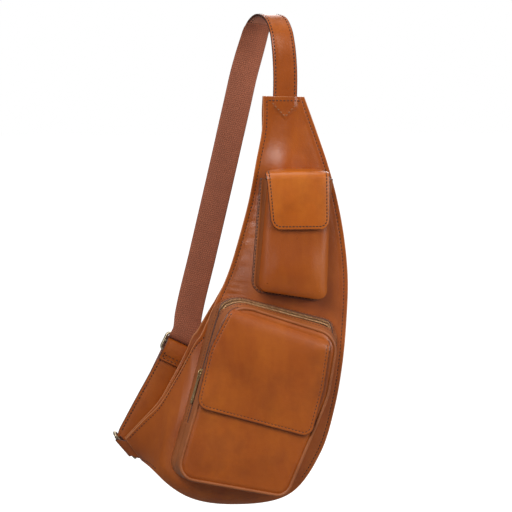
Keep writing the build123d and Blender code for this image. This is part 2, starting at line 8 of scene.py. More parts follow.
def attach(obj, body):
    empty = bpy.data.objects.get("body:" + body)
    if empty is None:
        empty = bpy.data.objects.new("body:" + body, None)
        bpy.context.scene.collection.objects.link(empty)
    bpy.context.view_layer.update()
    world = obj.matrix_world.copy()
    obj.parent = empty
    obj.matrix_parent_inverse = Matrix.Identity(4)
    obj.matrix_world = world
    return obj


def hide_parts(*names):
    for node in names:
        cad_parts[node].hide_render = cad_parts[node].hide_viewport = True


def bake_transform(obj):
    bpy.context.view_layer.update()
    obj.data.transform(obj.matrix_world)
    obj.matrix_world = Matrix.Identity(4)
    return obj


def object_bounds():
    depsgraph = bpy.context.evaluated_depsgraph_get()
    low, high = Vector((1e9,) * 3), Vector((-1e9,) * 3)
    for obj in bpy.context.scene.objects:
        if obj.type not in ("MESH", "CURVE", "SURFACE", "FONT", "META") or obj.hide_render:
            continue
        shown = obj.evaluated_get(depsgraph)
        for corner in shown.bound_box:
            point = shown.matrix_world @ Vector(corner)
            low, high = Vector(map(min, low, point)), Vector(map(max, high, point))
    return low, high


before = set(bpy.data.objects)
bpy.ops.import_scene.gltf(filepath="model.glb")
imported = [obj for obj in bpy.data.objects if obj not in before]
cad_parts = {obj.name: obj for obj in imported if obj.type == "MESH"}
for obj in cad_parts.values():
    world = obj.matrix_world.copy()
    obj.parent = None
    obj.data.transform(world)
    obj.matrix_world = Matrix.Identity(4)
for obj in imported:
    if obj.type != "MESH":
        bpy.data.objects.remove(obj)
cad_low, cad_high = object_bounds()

# Everything is drawn in millimetres in the design's own layout, with X to the right, Y backwards and
# Z up, and place() then moves it into the row frame in metres.
MM = 0.001
SHIFT = Vector((-11.2, -33.0, 8.6))
LEATHER = 2.0

# Body: left x, left z, right x, right z, depth, left fall, right fall, zip gap, thickness, spread, right gap
STATIONS = [
    (1.4, -92.0, 45.6, -93.0, 0.0, 0.0, 0.0, 3.2, 7.2, 0.0, 3.2),
    (0.5, -127.0, 58.0, -127.0, 0.0, 3.0, 0.0, 9.0, 17.0, 0.0, 2.0),
    (-5.75, -162.5, 70.5, -163.0, 0.0, 5.0, 0.0, 9.5, 21.0, 0.0, 0.3),
    (-12.0, -198.0, 80.5, -199.0, 0.0, 7.0, 0.0, 10.0, 25.0, 0.0, 0.3),
    (-22.0, -237.0, 88.5, -240.0, 0.0, 7.0, 0.0, 10.0, 30.0, 0.0, 0.3),
    (-37.0, -285.0, 93.2, -289.0, 0.0, 7.0, 0.0, 10.0, 34.0, 0.0, 0.3),
    (-50.0, -314.0, 91.7, -335.0, 0.0, 7.0, 0.0, 11.0, 36.0, 0.0, 0.3),
    (-55.0, -325.0, 87.3, -382.0, 0.0, 7.0, 0.0, 12.0, 38.0, 1.0, 0.3),
    (-59.0, -334.0, 79.0, -428.0, 0.0, 7.0, 0.0, 13.0, 38.0, 2.0, 0.3),
    (-63.0, -343.0, 64.0, -476.0, 0.0, 7.0, 1.0, 14.0, 38.0, 3.0, 0.3),
    (-66.0, -349.0, 32.0, -520.0, 0.0, 7.0, 5.0, 14.5, 38.0, 4.0, 0.3),
    (-70.0, -354.0, -28.0, -532.0, 0.6, 7.0, 12.0, 15.0, 38.0, 5.0, 0.3),
    (-74.0, -361.0, -83.0, -521.0, 2.0, 7.0, 12.0, 15.0, 36.0, 6.0, 0.3),
    (-79.0, -372.0, -104.0, -506.0, 4.6, 7.0, 10.0, 15.0, 32.0, 6.0, 0.3),
    (-94.0, -400.0, -111.0, -499.0, 9.6, 7.0, 7.0, 13.0, 28.0, 4.0, 0.3),
    (-108.0, -424.0, -115.0, -495.0, 18.5, 6.0, 4.0, 9.0, 20.0, 2.0, 0.3),
    (-124.5, -442.5, -119.5, -491.0, 33.0, 4.0, 3.0, 7.0, 15.0, 0.0, 4.0),
    (-142.0, -463.5, -124.5, -487.5, 49.0, 0.5, 0.5, 5.4, 10.0, 0.0, 5.4),
]
LAST = len(STATIONS) - 1.0
FLANGE = 6.0
SOFT_ROLL = 34.0
RIGHT_ROLL = 14.0
BACK_ROLL = 35.0
FULL_WIDTH = 62.0
FINE_WIDTH = 52.0
ZIP_INSET = 9.0
STITCH_INSET = 4.4
STITCH_PITCH = 3.8
STITCH_STEPS = 12
RIM = 1.6
NECK_BULGE = Vector((18.0, 0.0, -168.0))
NECK_X = 24.6

POCKET_BASE = [(-48, -302), (84, -336), (70, -413), (24, -519), (-101, -495)]
POCKET_FACE = [(-41, -310), (76, -348), (65, -412), (20, -517.5), (-96, -494.5)]
POCKET_RADII = (27, 22, 90, 13, 16)
POCKET_MIDDLE = Vector((-5, 0, -410))
POCKET_DEPTH = 32.0
POCKET_FRONT = -33.0
ZIP_CENTRE = -15.0
POCKET_SLIDER = 84.0
SEAT = 1.05
FLAP_CORNERS = [(-38, -312), (69, -349), (61, -402), (47, -455), (-77, -420), (-62, -358)]
FLAP_RADII = (14, 10, 60, 11, 12, 60)
PHONE_CORNERS = [(2, -180), (70, -180), (66, -310), (-8.6, -298)]


def place(p):
    return (Vector(p) + SHIFT) * MM


def at_depth(p, y):
    return Vector((p.x, y, p.z))


# ------------------------------------------------------------------ curves


def slopes(values, knots, monotone):
    """Tangents of a smooth curve through values at knots."""
    steps = [max(1e-6, knots[i + 1] - knots[i]) for i in range(len(knots) - 1)]
    rates = [(values[i + 1] - values[i]) / steps[i] for i in range(len(steps))]
    found = [rates[0]]
    for i in range(1, len(rates)):
        before, after = rates[i - 1], rates[i]
        if not monotone:
            found.append((before * steps[i] + after * steps[i - 1]) / (steps[i] + steps[i - 1]))
        else:
            found.append(0.0 if before * after <= 0 else 2 * before * after / (before + after))
    return found + [rates[-1]]


class Curve:
    """A smooth curve through numbers or points."""

    def __init__(self, values, knots, monotone=False):
        self.values, self.knots = values, knots
        self.tangents = slopes(values, knots, monotone)

    def at(self, u):
        i = max(0, min(int(u), len(self.values) - 2))
        t = u - i
        h = max(1e-6, self.knots[i + 1] - self.knots[i])
        a, b = 2 * t**3 - 3 * t**2 + 1, t**3 - 2 * t**2 + t
        c, d = 3 * t**2 - 2 * t**3, t**3 - t**2
        start = self.values[i] * a + self.tangents[i] * (b * h)
        return start + self.values[i + 1] * c + self.tangents[i + 1] * (d * h)


def chords(points):
    knots = [0.0]
    for a, b in zip(points, points[1:]):
        knots.append(knots[-1] + (b - a).length)
    return knots


def resample(points, count, closed=False):
    """Evenly spaced points along a polyline. A closed one doesn't repeat its first point."""
    points = list(points) + ([points[0]] if closed else [])
    knots = chords(points)
    found, i = [], 0
    for k in range(count):
        want = knots[-1] * k / (count if closed else count - 1)
        while i < len(points) - 2 and knots[i + 1] < want:
            i += 1
        span = max(1e-9, knots[i + 1] - knots[i])
        found.append(points[i].lerp(points[i + 1], min(1.0, (want - knots[i]) / span)))
    return found


def smooth(t):
    t = max(0.0, min(1.0, t))
    return t * t * (3 - 2 * t)


def bell(x, width):
    return math.exp(-((x / width) ** 2))


def roll(distance, width):
    return max(0.0, 1.0 - max(0.0, distance) / width) ** 2


def search_tree(points):
    tree = kdtree.KDTree(len(points))
    for k, p in enumerate(points):
        tree.insert(p, k)
    tree.balance()
    return tree


def listed(values, i):
    """A value of a short list, or 0 past its end."""
    return values[i] if i < len(values) else 0.0


# ------------------------------------------------------------ mesh building


class Shape:
    """Collects faces in drawing millimetres. Marks are 1 on a painted edge, below 0 on a rubbed rim that also carries a
    painted highlight.
    """

    def __init__(self):
        self.points, self.marks, self.weave = [], [], []
        self.faces, self.slots = [], []

    def add(self, p, mark=0.0, weave=(0.0, 0.0)):
        self.points.append(Vector(p))
        self.marks.append(mark)
        self.weave.append(weave)
        return len(self.points) - 1

    def face(self, corners, slot=0):
        self.faces.append(tuple(corners))
        self.slots.append(slot)

    def grid(self, rows, slot=0, mark=None, weave=None, loop=False):
        """Adds a grid of points and returns its indices."""
        mark, weave = mark or (lambda i, j: 0.0), weave or (lambda i, j: (0.0, 0.0))
        made = [[self.add(p, mark(i, j), weave(i, j)) for j, p in enumerate(line)] for i, line in enumerate(rows)]
        count = len(rows[0])
        for near, far in zip(made, made[1:]):
            for j in range(count if loop else count - 1):
                k = (j + 1) % count
                self.face((near[j], near[k], far[k], far[j]), slot)
        return made

    def closed(self, rows, slot=0):
        """A solid of revolution or extrusion: rings with both ends filled."""
        made = self.grid(rows, slot, loop=True)
        self.face(made[0], slot)
        self.face(reversed(made[-1]), slot)

    def shell(self, outer, inner, mark=None, weave=None, loop=False, cap=False):
        """A sheet with thickness. loop joins the first and last columns; cap fills the last row."""
        a = self.grid(outer, 0, mark, weave, loop)
        b = self.grid(inner, 0, mark, weave, loop)
        count = len(outer[0])
        for j in range(count if loop else count - 1):
            k = (j + 1) % count
            self.face((a[0][j], b[0][j], b[0][k], a[0][k]))
            if not cap:
                self.face((a[-1][j], a[-1][k], b[-1][k], b[-1][j]))
        if cap:
            self.face(a[-1])
            self.face(reversed(b[-1]))
        if not loop:
            for i in range(len(outer) - 1):
                self.face((a[i][0], a[i + 1][0], b[i + 1][0], b[i][0]))
                self.face((a[i][-1], b[i][-1], b[i + 1][-1], a[i + 1][-1]))

    def tube(self, points, radius, slot=0, closed=False, sides=12, up=(0, 0, 1), flat=1.0):
        """A round bar along points. radius is a number or one for each point."""
        count = len(points)
        rows = []
        for i, p in enumerate(points):
            before = points[i - 1] if closed or i else p
            after = points[(i + 1) % count] if closed or i < count - 1 else p
            along = (after - before).normalized()
            side = along.cross(Vector(up))
            if side.length < 0.2:
                side = along.cross(Vector((1, 0.3, 0)))
            side.normalize()
            top = side.cross(along).normalized()
            r = radius[i] if isinstance(radius, (list, tuple)) else radius
            turns = [2 * math.pi * k / sides for k in range(sides)]
            rows.append([p + side * (r * math.cos(t)) + top * (r * flat * math.sin(t)) for t in turns])
        if closed:
            self.grid(rows + [rows[0]], slot, loop=True)
        else:
            self.closed(rows, slot)

    def stitches(self, points, outward, slot=1, pitch=STITCH_PITCH, length=2.3, radius=0.55, lift=0.0):
        """A row of sewn threads along points. outward is the surface's direction, or gives it at a point."""
        count = max(1, int(chords(points)[-1] / pitch))
        spots = resample(points, count * STITCH_STEPS + 1)
        for here in range(STITCH_STEPS // 2, len(spots), STITCH_STEPS):
            middle = spots[here]
            along = (spots[here + 2] - spots[here - 2]).normalized()
            out = outward(middle) if callable(outward) else Vector(outward)
            out = (out - along * out.dot(along)).normalized()
            slant = (along + along.cross(out) * 0.1).normalized()
            run = []
            for t, drop in ((-0.5, -0.7), (-0.42, -0.15), (-0.2, 0.1), (0.2, 0.1), (0.42, -0.15), (0.5, -0.7)):
                run.append(middle + slant * (t * length) + out * (lift + drop * radius))
            widths = [radius * share for share in (0.5, 0.85, 1.0, 1.0, 0.85, 0.5)]
            self.tube(run, widths, slot, sides=6, up=out, flat=0.75)

    def absorb(self, mesh, where):
        """Adds a finished mesh, its points moved by a function."""
        start = len(self.points)
        for v in mesh.vertices:
            self.add(where(v.co))
        for p in mesh.polygons:
            self.face([start + i for i in p.vertices])


def make(name, shape, materials, node_name, body="bag", bevel=0.0, sharp=None, blend=None):
    """One object from a shape, standing for its CAD node. It rides on its body, unless blend is given: then it rides on
    nothing.
    """
    mesh = bpy.data.meshes.new(name)
    mesh.from_pydata([place(p) for p in shape.points], [], shape.faces)
    for material in materials:
        mesh.materials.append(material)
    mesh.polygons.foreach_set("material_index", shape.slots)
    mesh.attributes.new("edge", "FLOAT", "POINT").data.foreach_set("value", shape.marks)
    flat = [c for a, s in shape.weave for c in (a, s, 0.0)]
    mesh.attributes.new("weave", "FLOAT_VECTOR", "POINT").data.foreach_set("vector", flat)
    built = bmesh.new()
    built.from_mesh(mesh)
    bmesh.ops.recalc_face_normals(built, faces=built.faces)
    built.to_mesh(mesh)
    built.free()
    mesh.polygons.foreach_set("use_smooth", [True] * len(mesh.polygons))
    if sharp:
        mesh.set_sharp_from_angle(angle=math.radians(sharp))
    mesh.update()
    piece = bpy.data.objects.new(name, mesh)
    bpy.context.scene.collection.objects.link(piece)
    if bevel:
        rounding = piece.modifiers.new("rounding", "BEVEL")
        rounding.width, rounding.segments = bevel * MM, 2
        rounding.limit_method, rounding.angle_limit = "ANGLE", math.radians(50)
    if blend:
        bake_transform(piece)
    else:
        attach(piece, body)
    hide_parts(node_name)


def plate_mesh(outlines, thick, bevel):
    """A flat plate from closed outlines in X and Y, holes included, with rounded rims."""
    curve = bpy.data.curves.new("plate", "CURVE")
    curve.dimensions, curve.fill_mode = "2D", "BOTH"
    curve.extrude, curve.offset = thick / 2 - bevel, -bevel
    curve.bevel_depth, curve.bevel_resolution = bevel, 2
    for outline in outlines:
        line = curve.splines.new("POLY")
        line.points.add(len(outline) - 1)
        for point, (x, y) in zip(line.points, outline):
            point.co = (x, y, 0, 1)
        line.use_cyclic_u = True
    holder = bpy.data.objects.new("plate", curve)
    mesh = bpy.data.meshes.new_from_object(holder)
    bpy.data.objects.remove(holder)
    return mesh


# ------------------------------------------------------------------- materials


class Wire:
    """A node's output. Arithmetic on it adds Math nodes."""

    def __init__(self, tree, socket):
        self.tree, self.socket = tree, socket

    def math(self, way, other=0.0, clamp=False):
        return wire(self.tree, "Math", 0, {"operation": way, "use_clamp": clamp}, i0=self, i1=other)

    def __add__(self, other):
        return self.math("ADD", other)

    def __sub__(self, other):
        return self.math("SUBTRACT", other)

    def __mul__(self, other):
        return self.math("MULTIPLY", other)

    def __truediv__(self, other):
        return self.math("DIVIDE", other)


def wire(tree, kind, output=0, settings=(), **inputs):
    """Adds a node and gives one output. inputs are numbers, colours or wires; i3 is the input at place 3."""
    made = tree.nodes.new("ShaderNode" + kind)
    for key, value in dict(settings).items():
        setattr(made, key, value)
    for key, value in inputs.items():
        socket = made.inputs[int(key[1:]) if key[0] == "i" and key[1:].isdigit() else key]
        if isinstance(value, Wire):
            tree.links.new(value.socket, socket)
        else:
            socket.default_value = value
    return Wire(tree, made.outputs[output])


class Look:
    """A material being made: its node tree and its shader."""

    def __init__(self, name):
        self.material = bpy.data.materials.new(name)
        self.material.use_nodes = True
        self.tree = self.material.node_tree
        self.where = wire(self.tree, "TexCoord", "Object")

    def noise(self, scale, detail=3.0, rough=0.55, stretch=None):
        where = wire(self.tree, "Mapping", Vector=self.where, Scale=stretch) if stretch else self.where
        return wire(self.tree, "TexNoise", "Fac", Vector=where, Scale=scale, Detail=detail, Roughness=rough)

    def mix(self, factor, a, b):
        return wire(self.tree, "Mix", 2, {"data_type": "RGBA"}, i0=factor, i6=a, i7=b)

    def ramp(self, value, low, high):
        """A grey ramp between two stops, each a position and a level."""
        made = wire(self.tree, "ValToRGB", i0=value)
        for element, (position, level) in zip(made.socket.node.color_ramp.elements, (low, high)):
            element.position = position
            element.color = (level, level, level, 1)
        return made

    def bump(self, strength, distance, height):
        return wire(self.tree, "Bump", Strength=strength, Distance=distance, Height=height)

    def close(self, inputs, constants):
        """Joins wires to the shader, sets its constants and gives the material."""
        shader = self.tree.nodes["Principled BSDF"]
        for key, value in inputs.items():
            self.tree.links.new(value.socket, shader.inputs[key])
        for key, value in constants.items():
            shader.inputs[key].default_value = value
        return self.material


def rgb(r, g, b):
    """A colour picked in sRGB, from 0 to 255, as the linear colour that a shader takes."""
    return tuple(((c / 255 + 0.055) / 1.055) ** 2.4 if c > 10 else c / 255 / 12.92 for c in (r, g, b)) + (1.0,)


def shade(colour, factor):
    return tuple(c * factor for c in colour[:3]) + (1.0,)


PAINT = rgb(72, 34, 22)
# Rim colour for the body panels: partly rubbed wear, partly a painted highlight where the cut edge catches the light.
RUBBED_RIM_HIGHLIGHT = rgb(214, 140, 90)


def leather(name, dark, base, light, rough=0.36, coat=0.2, grain=0.35, fuzz=0.0, dull=0.0):
    """Vegetable-tanned leather: cloudy dye, pores, creases, painted edges, rubbed edges lightened by a painted
    highlight, duller low down.
    """
    look = Look(name)
    cloud = look.noise(13.0)
    streak = look.noise(30.0, 5.0, 0.6, (1.0, 1.0, 0.35))
    mottle = look.noise(160.0, 6.0, 0.6)
    patch = look.noise(22.0, 4.0, 0.6)
    colour = look.mix(look.ramp(cloud, (0.3, 0.0), (0.7, 1.0)), dark, base)
    colour = look.mix(look.ramp(streak, (0.45, 0.0), (0.8, 0.75)), colour, light)
    colour = look.mix(look.ramp(mottle, (0.35, 0.0), (0.75, 1.0)) * 0.3, colour, dark)
    colour = look.mix(look.ramp(patch, (0.5, 0.0), (0.78, 0.55)), colour, shade(dark, 0.62))
    edge = wire(look.tree, "Attribute", "Fac", {"attribute_name": "edge"})
    edge = edge + (mottle - 0.5) * 0.35
    colour = look.mix(look.ramp(edge, (0.2, 0.0), (0.7, 0.5)), colour, shade(dark, 0.5))
    colour = look.mix(look.ramp(edge, (0.68, 0.0), (0.82, 0.95)), colour, PAINT)
    # Marks below 0 lighten the rim: rubbed wear and a painted highlight together.
    rim_rub_and_highlight = wire(look.tree, "MapRange", i0=edge, i1=-0.3, i2=-0.9, i3=0.0, i4=0.7)
    colour = look.mix(rim_rub_and_highlight, colour, RUBBED_RIM_HIGHLIGHT)
    pores = wire(look.tree, "TexVoronoi", "Distance", {"feature": "F1"}, Vector=look.where, Scale=1150.0)
    wear = look.noise(420.0, 5.0, 0.65)
    crease = look.noise(95.0, 4.0, 0.5, (1.0, 1.0, 2.2))
    lines = look.ramp((crease - 0.5).math("ABSOLUTE"), (0.0, 0.0), (0.045, 1.0))
    level = wire(look.tree, "SeparateXYZ", 2, Vector=look.where)
    handled = wire(look.tree, "MapRange", i0=level, i1=-0.24, i2=-0.33, i3=0.0, i4=dull)
    rub = cloud * 0.16 + wear * 0.14 + handled
    inputs = {
        "Base Color": colour,
        "Roughness": rub.math("ADD", rough - 0.15, True),
        "Normal": look.bump(grain, 0.00025, pores * 0.55 + wear * 0.8 + lines * 0.32),
    }
    return look.close(inputs, {"Coat Weight": coat, "Coat Roughness": 0.24, "Sheen Weight": fuzz})


def woven(name, base, dark, across, along, rough=0.75, strength=0.7):
    """A weave in the piece's own directions, each row set off from the last."""
    look = Look(name)
    weave = wire(look.tree, "Attribute", "Vector", {"attribute_name": "weave"})
    row = wire(look.tree, "SeparateXYZ", 1, Vector=weave) / along
    column = wire(look.tree, "SeparateXYZ", 0, Vector=weave) / across + row.math("FLOOR") * 0.5
    over, under = ((part * math.pi).math("SINE").math("ABSOLUTE") for part in (column, row))
    bead = (over * under).math("POWER", 0.6)
    fibre = look.noise(900.0, 4.0, 0.7)
    # Darker between the yarn beads, where the weave dips: painted shade in its hollows.
    colour = look.mix(bead.math("MULTIPLY", 0.9, True), dark, base)
    colour = look.mix(look.ramp(look.noise(45.0, 4.0), (0.35, 0.0), (0.7, 0.4)), colour, dark)
    inputs = {
        "Base Color": look.mix(fibre * 0.3, colour, dark),
        "Roughness": (fibre * 0.15).math("ADD", rough - 0.08, True),
        "Normal": look.bump(strength, 0.00035, bead + fibre * 0.35),
    }
    return look.close(inputs, {"Sheen Weight": 0.15, "Sheen Roughness": 0.5})


def metal(name, base, tarnish, rough=0.28, metallic=0.85):
    """Plated metal with darker tarnish, faint scratches and uneven gloss."""
    look = Look(name)
    cloud = look.noise(220.0, 5.0, 0.6)
    inputs = {
        "Base Color": look.mix(look.ramp(cloud, (0.42, 0.0), (0.72, 0.8)), base, tarnish),
        "Roughness": (cloud * 0.3).math("ADD", rough - 0.12, True),
        "Normal": look.bump(0.25, 0.00008, look.noise(700.0, 3.0, 0.7, (1.0, 6.0, 0.6))),
    }
    return look.close(inputs, {"Metallic": metallic})


tan_leather = leather("tan_leather", rgb(150, 68, 6), rgb(174, 86, 10), rgb(190, 102, 22), 0.32, 0.1, dull=0.14)
flap_leather = leather("flap_leather", rgb(149, 67, 2), rgb(172, 84, 4), rgb(188, 100, 14), 0.36, 0.1, 0.3)
# A brighter copy of the flap leather for the phone flap: its extra lightness is a painted highlight.
painted_highlight_leather = leather("painted_highlight_leather", rgb(172, 82, 8), rgb(198, 103, 14), rgb(210, 120, 30), 0.33, 0.12, 0.3)
band_leather = leather("band_leather", rgb(145, 76, 30), rgb(170, 95, 45), rgb(186, 110, 58), 0.46, 0.08, 0.4)
# Inner faces of flaps and strap: colours raised well above the leather's own, painted light that lifts the shade these
# faces sit in.
inner_leather_painted_light = leather(
    "inner_leather_painted_light", rgb(186, 112, 80), rgb(216, 140, 106), rgb(226, 156, 126), 0.5, 0.08, 0.45, 0.2
)
thread = woven("thread", rgb(84, 38, 18), rgb(46, 20, 10), 0.5, 0.5, 0.6, 0.2)
# Thread for the V on the neck: partly a pale thread, partly a painted highlight standing for the lit raised ridge of
# the V.
pale_thread_painted_highlight = woven("pale_thread_painted_highlight", rgb(214, 150, 92), rgb(150, 92, 50), 0.5, 0.5, 0.6, 0.2)
# Webbing: colours raised to paint light into the shade it sits in behind the body.
webbing_cloth_painted_light = woven("webbing_cloth_painted_light", rgb(186, 106, 70), rgb(132, 72, 48), 2.3, 2.2, 0.7, 0.7)
tape_cloth = woven("tape_cloth", rgb(112, 62, 40), rgb(66, 32, 20), 0.5, 0.7, 0.85, 0.5)
lining_weave = woven("lining_weave", rgb(96, 62, 42), rgb(58, 36, 24), 0.6, 0.6, 0.85, 0.4)
brass = metal("brass", rgb(206, 178, 130), rgb(140, 108, 66))
tooth_brass = metal("tooth_brass", rgb(226, 176, 126), rgb(176, 116, 74), 0.34, 0.55)
nickel = metal("nickel", rgb(196, 180, 152), rgb(128, 108, 82))
steel = metal("steel", rgb(176, 172, 162), rgb(120, 112, 98), 0.34)


# ------------------------------------------------------------------------ body


lefts = [Vector((r[0], 0, r[1])) for r in STATIONS]
rights = [Vector((r[2], 0, r[3])) for r in STATIONS]
mean_knots = [(a + b) / 2 for a, b in zip(chords(lefts), chords(rights))]
left_curve, right_curve = Curve(lefts, chords(lefts)), Curve(rights, chords(rights))
measures = [Curve([r[k] for r in STATIONS], mean_knots, True) for k in range(4, 11)]


def pointed_end(x, z):
    """How far inside the strap's pointed end a spot of the neck is, in mm."""
    dx = abs(x - NECK_X)
    return min((z + 118 - dx * 1.077) / 1.47, 13 - dx) if z < -88 else 0.0


class Section:
    """The body cut from its left edge to its right edge, at a place between stations."""

    def __init__(self, u):
        self.u = u
        self.left, self.right = left_curve.at(u), right_curve.at(u)
        self.width = (self.right - self.left).length
        self.across = (self.right - self.left).normalized()
        self.depth, self.left_fall, self.right_fall, self.zip_gap, self.thick, self.spread, self.right_gap = (
            m.at(u) for m in measures
        )
        self.scale = min(1.0, self.width / FULL_WIDTH)
        self.fine = min(1.0, self.width / FINE_WIDTH)

    def point(self, d, y):
        return at_depth(self.left + self.across * d, y)

    def middle(self, d):
        """0 at the flanges and 1 in the middle."""
        low, high = 8 * self.fine, self.width - 9 * self.fine
        t = max(0.0, min(1.0, (d - low) / (high - low)))
        return math.sin(math.pi * t) ** 0.7 if 0 < t < 1 else 0.0

    def seam(self):
        """Distance of the sewn line from an edge."""
        return STITCH_INSET * self.fine

    def far_seam(self):
        return self.width - self.seam()

    def groove(self, d):
        return bell(d - self.seam(), 0.8)

    def front(self, d):
        """Depth of the front panel's outer face, at a distance from the left edge."""
        soft = SOFT_ROLL + 36.0 * smooth((self.u - 4.5) / 2.5)
        near = 1.0 - smooth((d / self.scale - FLANGE * 0.7) / soft)
        far = roll((self.width - d) / self.scale, RIGHT_ROLL)
        p = self.point(d, 0)
        middle = self.middle(d)
        y = self.depth + self.left_fall * near + self.right_fall * far
        y -= 2.0 * middle * smooth(self.u / 2.0) + 0.4
        uneven = 0.55 * noise.noise(p * 0.016) + 0.22 * noise.noise(p * 0.05 + Vector((7, 0, 3)))
        y -= uneven * (0.35 + 0.65 * middle)
        pleat = bell(self.u - 5.6, 1.1) * bell(d - 13, 8) + 0.6 * bell(self.u - 3.4, 0.9) * bell(d - 12, 7)
        y -= 0.8 * pleat * noise.noise(Vector((self.u * 11.0, d * 0.06, 1.0)))
        y += 0.35 * (self.groove(d) + (self.groove(self.width - d) if self.right_fall < 3 else 0.0))
        y -= 2.4 * bell((p - NECK_BULGE).length, 17.0)
        return y - 1.2 * smooth(pointed_end(p.x, p.z) / 2.2)

    def back(self, d):
        """Depth of the back panel's outer face."""
        full = self.depth + self.thick
        left_edge = self.depth + self.left_fall + 2 * LEATHER + self.zip_gap
        right_edge = self.depth + self.right_fall + 2 * LEATHER + self.right_gap
        near = roll(d / self.scale - FLANGE, BACK_ROLL)
        far = roll((self.width - d) / self.scale - FLANGE, BACK_ROLL)
        p = self.point(d, 0)
        y = full + (left_edge - full) * near + (right_edge - full) * far + 1.6 * self.middle(d) * smooth(self.u / 2.0)
        y += (0.9 * noise.noise(p * 0.014 + Vector((0, 5, 0))) + 0.25 * noise.noise(p * 0.05)) * self.middle(d)
        return y - 0.35 * (self.groove(d) + self.groove(self.width - d))

    def chain_y(self):
        return self.depth + self.left_fall + LEATHER + self.zip_gap / 2

    def shift(self, d):
        """Sideways shift of the back panel's left edge: tucked in at the neck, showing low down."""
        tuck = 3.2 * smooth((self.u - 0.4) / 1.2) * (1 - smooth((self.u - 4.8) / 1.6))
        return tuck * roll(d, 16.0) - self.spread * roll(d, 10.0)


EDGE_STEPS = (0, 0.8, 2.2, 3.5, 4.4, 5.3, 6.6, 8.2, 10, 12, 14, 16.5, 19)
MIDDLE_COLUMNS = 26


def columns(s):
    left = [e * s.fine for e in EDGE_STEPS]
    right = [s.width - e * s.fine for e in reversed(EDGE_STEPS)]
    span = right[0] - left[-1]
    return left + [left[-1] + span * k / MIDDLE_COLUMNS for k in range(1, MIDDLE_COLUMNS)] + right


NECK_SPACING, BODY_SPACING = 1.2, 2.6
places = []
for i in range(len(STATIONS) - 1):
    longest = max((lefts[i + 1] - lefts[i]).length, (rights[i + 1] - rights[i]).length)
    pieces = max(4, round(longest / (BODY_SPACING if i else NECK_SPACING)))
    places += [i + k / pieces for k in range(pieces)]
sections = [Section(u) for u in [0.0, 0.025] + places[1:] + [LAST - 0.03, LAST]]


def panel(depth, sign, shift):
    """A body panel with a rubbed rim lightened by a painted highlight, and the grid of its outer face."""
    outer, inner, marks = [], [], []
    for i, s in enumerate(sections):
        line = columns(s)
        spots = [(d + shift(s, d), depth(s, d)) for d in line]
        outer.append([s.point(d, y) for d, y in spots])
        inner.append([s.point(d, y + sign * LEATHER) for d, y in spots])
        at_end = i in (0, len(sections) - 1)
        # Rim marks below 0 bring in the rubbed rim's painted highlight.
        marks.append([-1.0 if at_end else -max(0.0, 1.0 - min(abs(d), abs(s.width - d)) / RIM) for d in line])
    shape = Shape()
    shape.shell(outer, inner, mark=lambda i, j: marks[i][j])
    return shape, outer


front_shape, front_outer = panel(Section.front, 1, lambda s, d: 0.0)
front_spots = [p for line in front_outer for p in line]


nearby = search_tree([at_depth(p, 0) for p in front_spots])


def front_y(x, z):
    """Depth of the front panel's outer face at a spot."""
    total, weight = 0.0, 0.0
    for _, k, distance in nearby.find_n(Vector((x, 0, z)), 4):
        w = 1 / (distance + 0.05)
        total += front_spots[k].y * w
        weight += w
    return total / weight


def run_along(first, last, distance, depth, step=0.08):
    """Points along the body at a distance from an edge."""
    found, u = [], first
    while u <= last + 1e-6:
        s = Section(min(u, LAST))
        d = distance(s)
        found.append(s.point(d, depth(s, d)))
        u += step
    return found


SEAM_START, SEAM_END = 0.12, 16.9
front_shape.stitches(run_along(SEAM_START, SEAM_END, Section.seam, Section.front), (0, -1, 0))
front_shape.stitches(run_along(SEAM_START, 9.7, Section.far_seam, Section.front), (0.1, -1, 0))
front_shape.stitches(run_along(14.6, SEAM_END, Section.far_seam, Section.front), (0.2, -1, -0.3))
hem_section = Section(0.13)
front_shape.stitches([hem_section.point(d, hem_section.front(d) - 0.1) for d in (5, 15, 25, 35, 40)], (0, -1, 0))
# The V's stitches take the pale thread, which partly paints the highlight on the raised V.
for side in (-1, 1):
    arm = [(NECK_X + side * 14.2 * (1 - k / 10), -98.6 - 15.4 * k / 10) for k in range(11)]
    front_shape.stitches([Vector((x, front_y(x, z), z)) for x, z in arm], (0, -1, 0), 2, radius=0.7)
make("front_panel_leather", front_shape, [tan_leather, thread, pale_thread_painted_highlight], "front_panel", bevel=0.45)

back_shape, _ = panel(Section.back, -1, Section.shift)
back_shape.stitches(
    run_along(SEAM_START, SEAM_END, lambda s: s.seam() + s.shift(s.seam()), lambda s, d: s.back(s.seam())),
    (0, 1, 0),
)
back_shape.stitches(run_along(SEAM_START, SEAM_END, Section.far_seam, Section.back), (0, 1, 0))
make("back_panel_leather", back_shape, [tan_leather, thread], "back_panel", bevel=0.45)


LINING_SPANS = 24
CLOTH = 0.6


def body_lining(name, depth, sign, node_name):
    """A loose cloth sheet just inside one panel."""
    outer, inner = [], []
    for s in sections[8:-8:3]:
        start, span = (13, s.width - 27) if s.width > 60 else (s.width * 0.22, s.width * 0.56)
        line = [start + span * k / LINING_SPANS for k in range(LINING_SPANS + 1)]
        ys = [depth(s, d) + sign * (LEATHER + 1.0) + 0.5 * noise.noise(s.point(d, 0) * 0.06) for d in line]
        outer.append([s.point(d, y) for d, y in zip(line, ys)])
        inner.append([s.point(d, y + sign * CLOTH) for d, y in zip(line, ys)])
    shape = Shape()
    shape.shell(outer, inner, weave=lambda i, j: (outer[i][j].x, outer[i][j].z))
    make(name, shape, [lining_weave], node_name)


body_lining("front_lining_cloth", Section.front, 1, "front_lining")
body_lining("back_lining_cloth", Section.back, -1, "back_lining")


# ---------------------------------------------------------------- zip fittings

TOOTH_PITCH = 1.35
OCTAGON = ((-1, -0.6), (-0.6, -1), (0.6, -1), (1, -0.6), (1, 0.6), (0.6, 1), (-0.6, 1), (-1, 0.6))


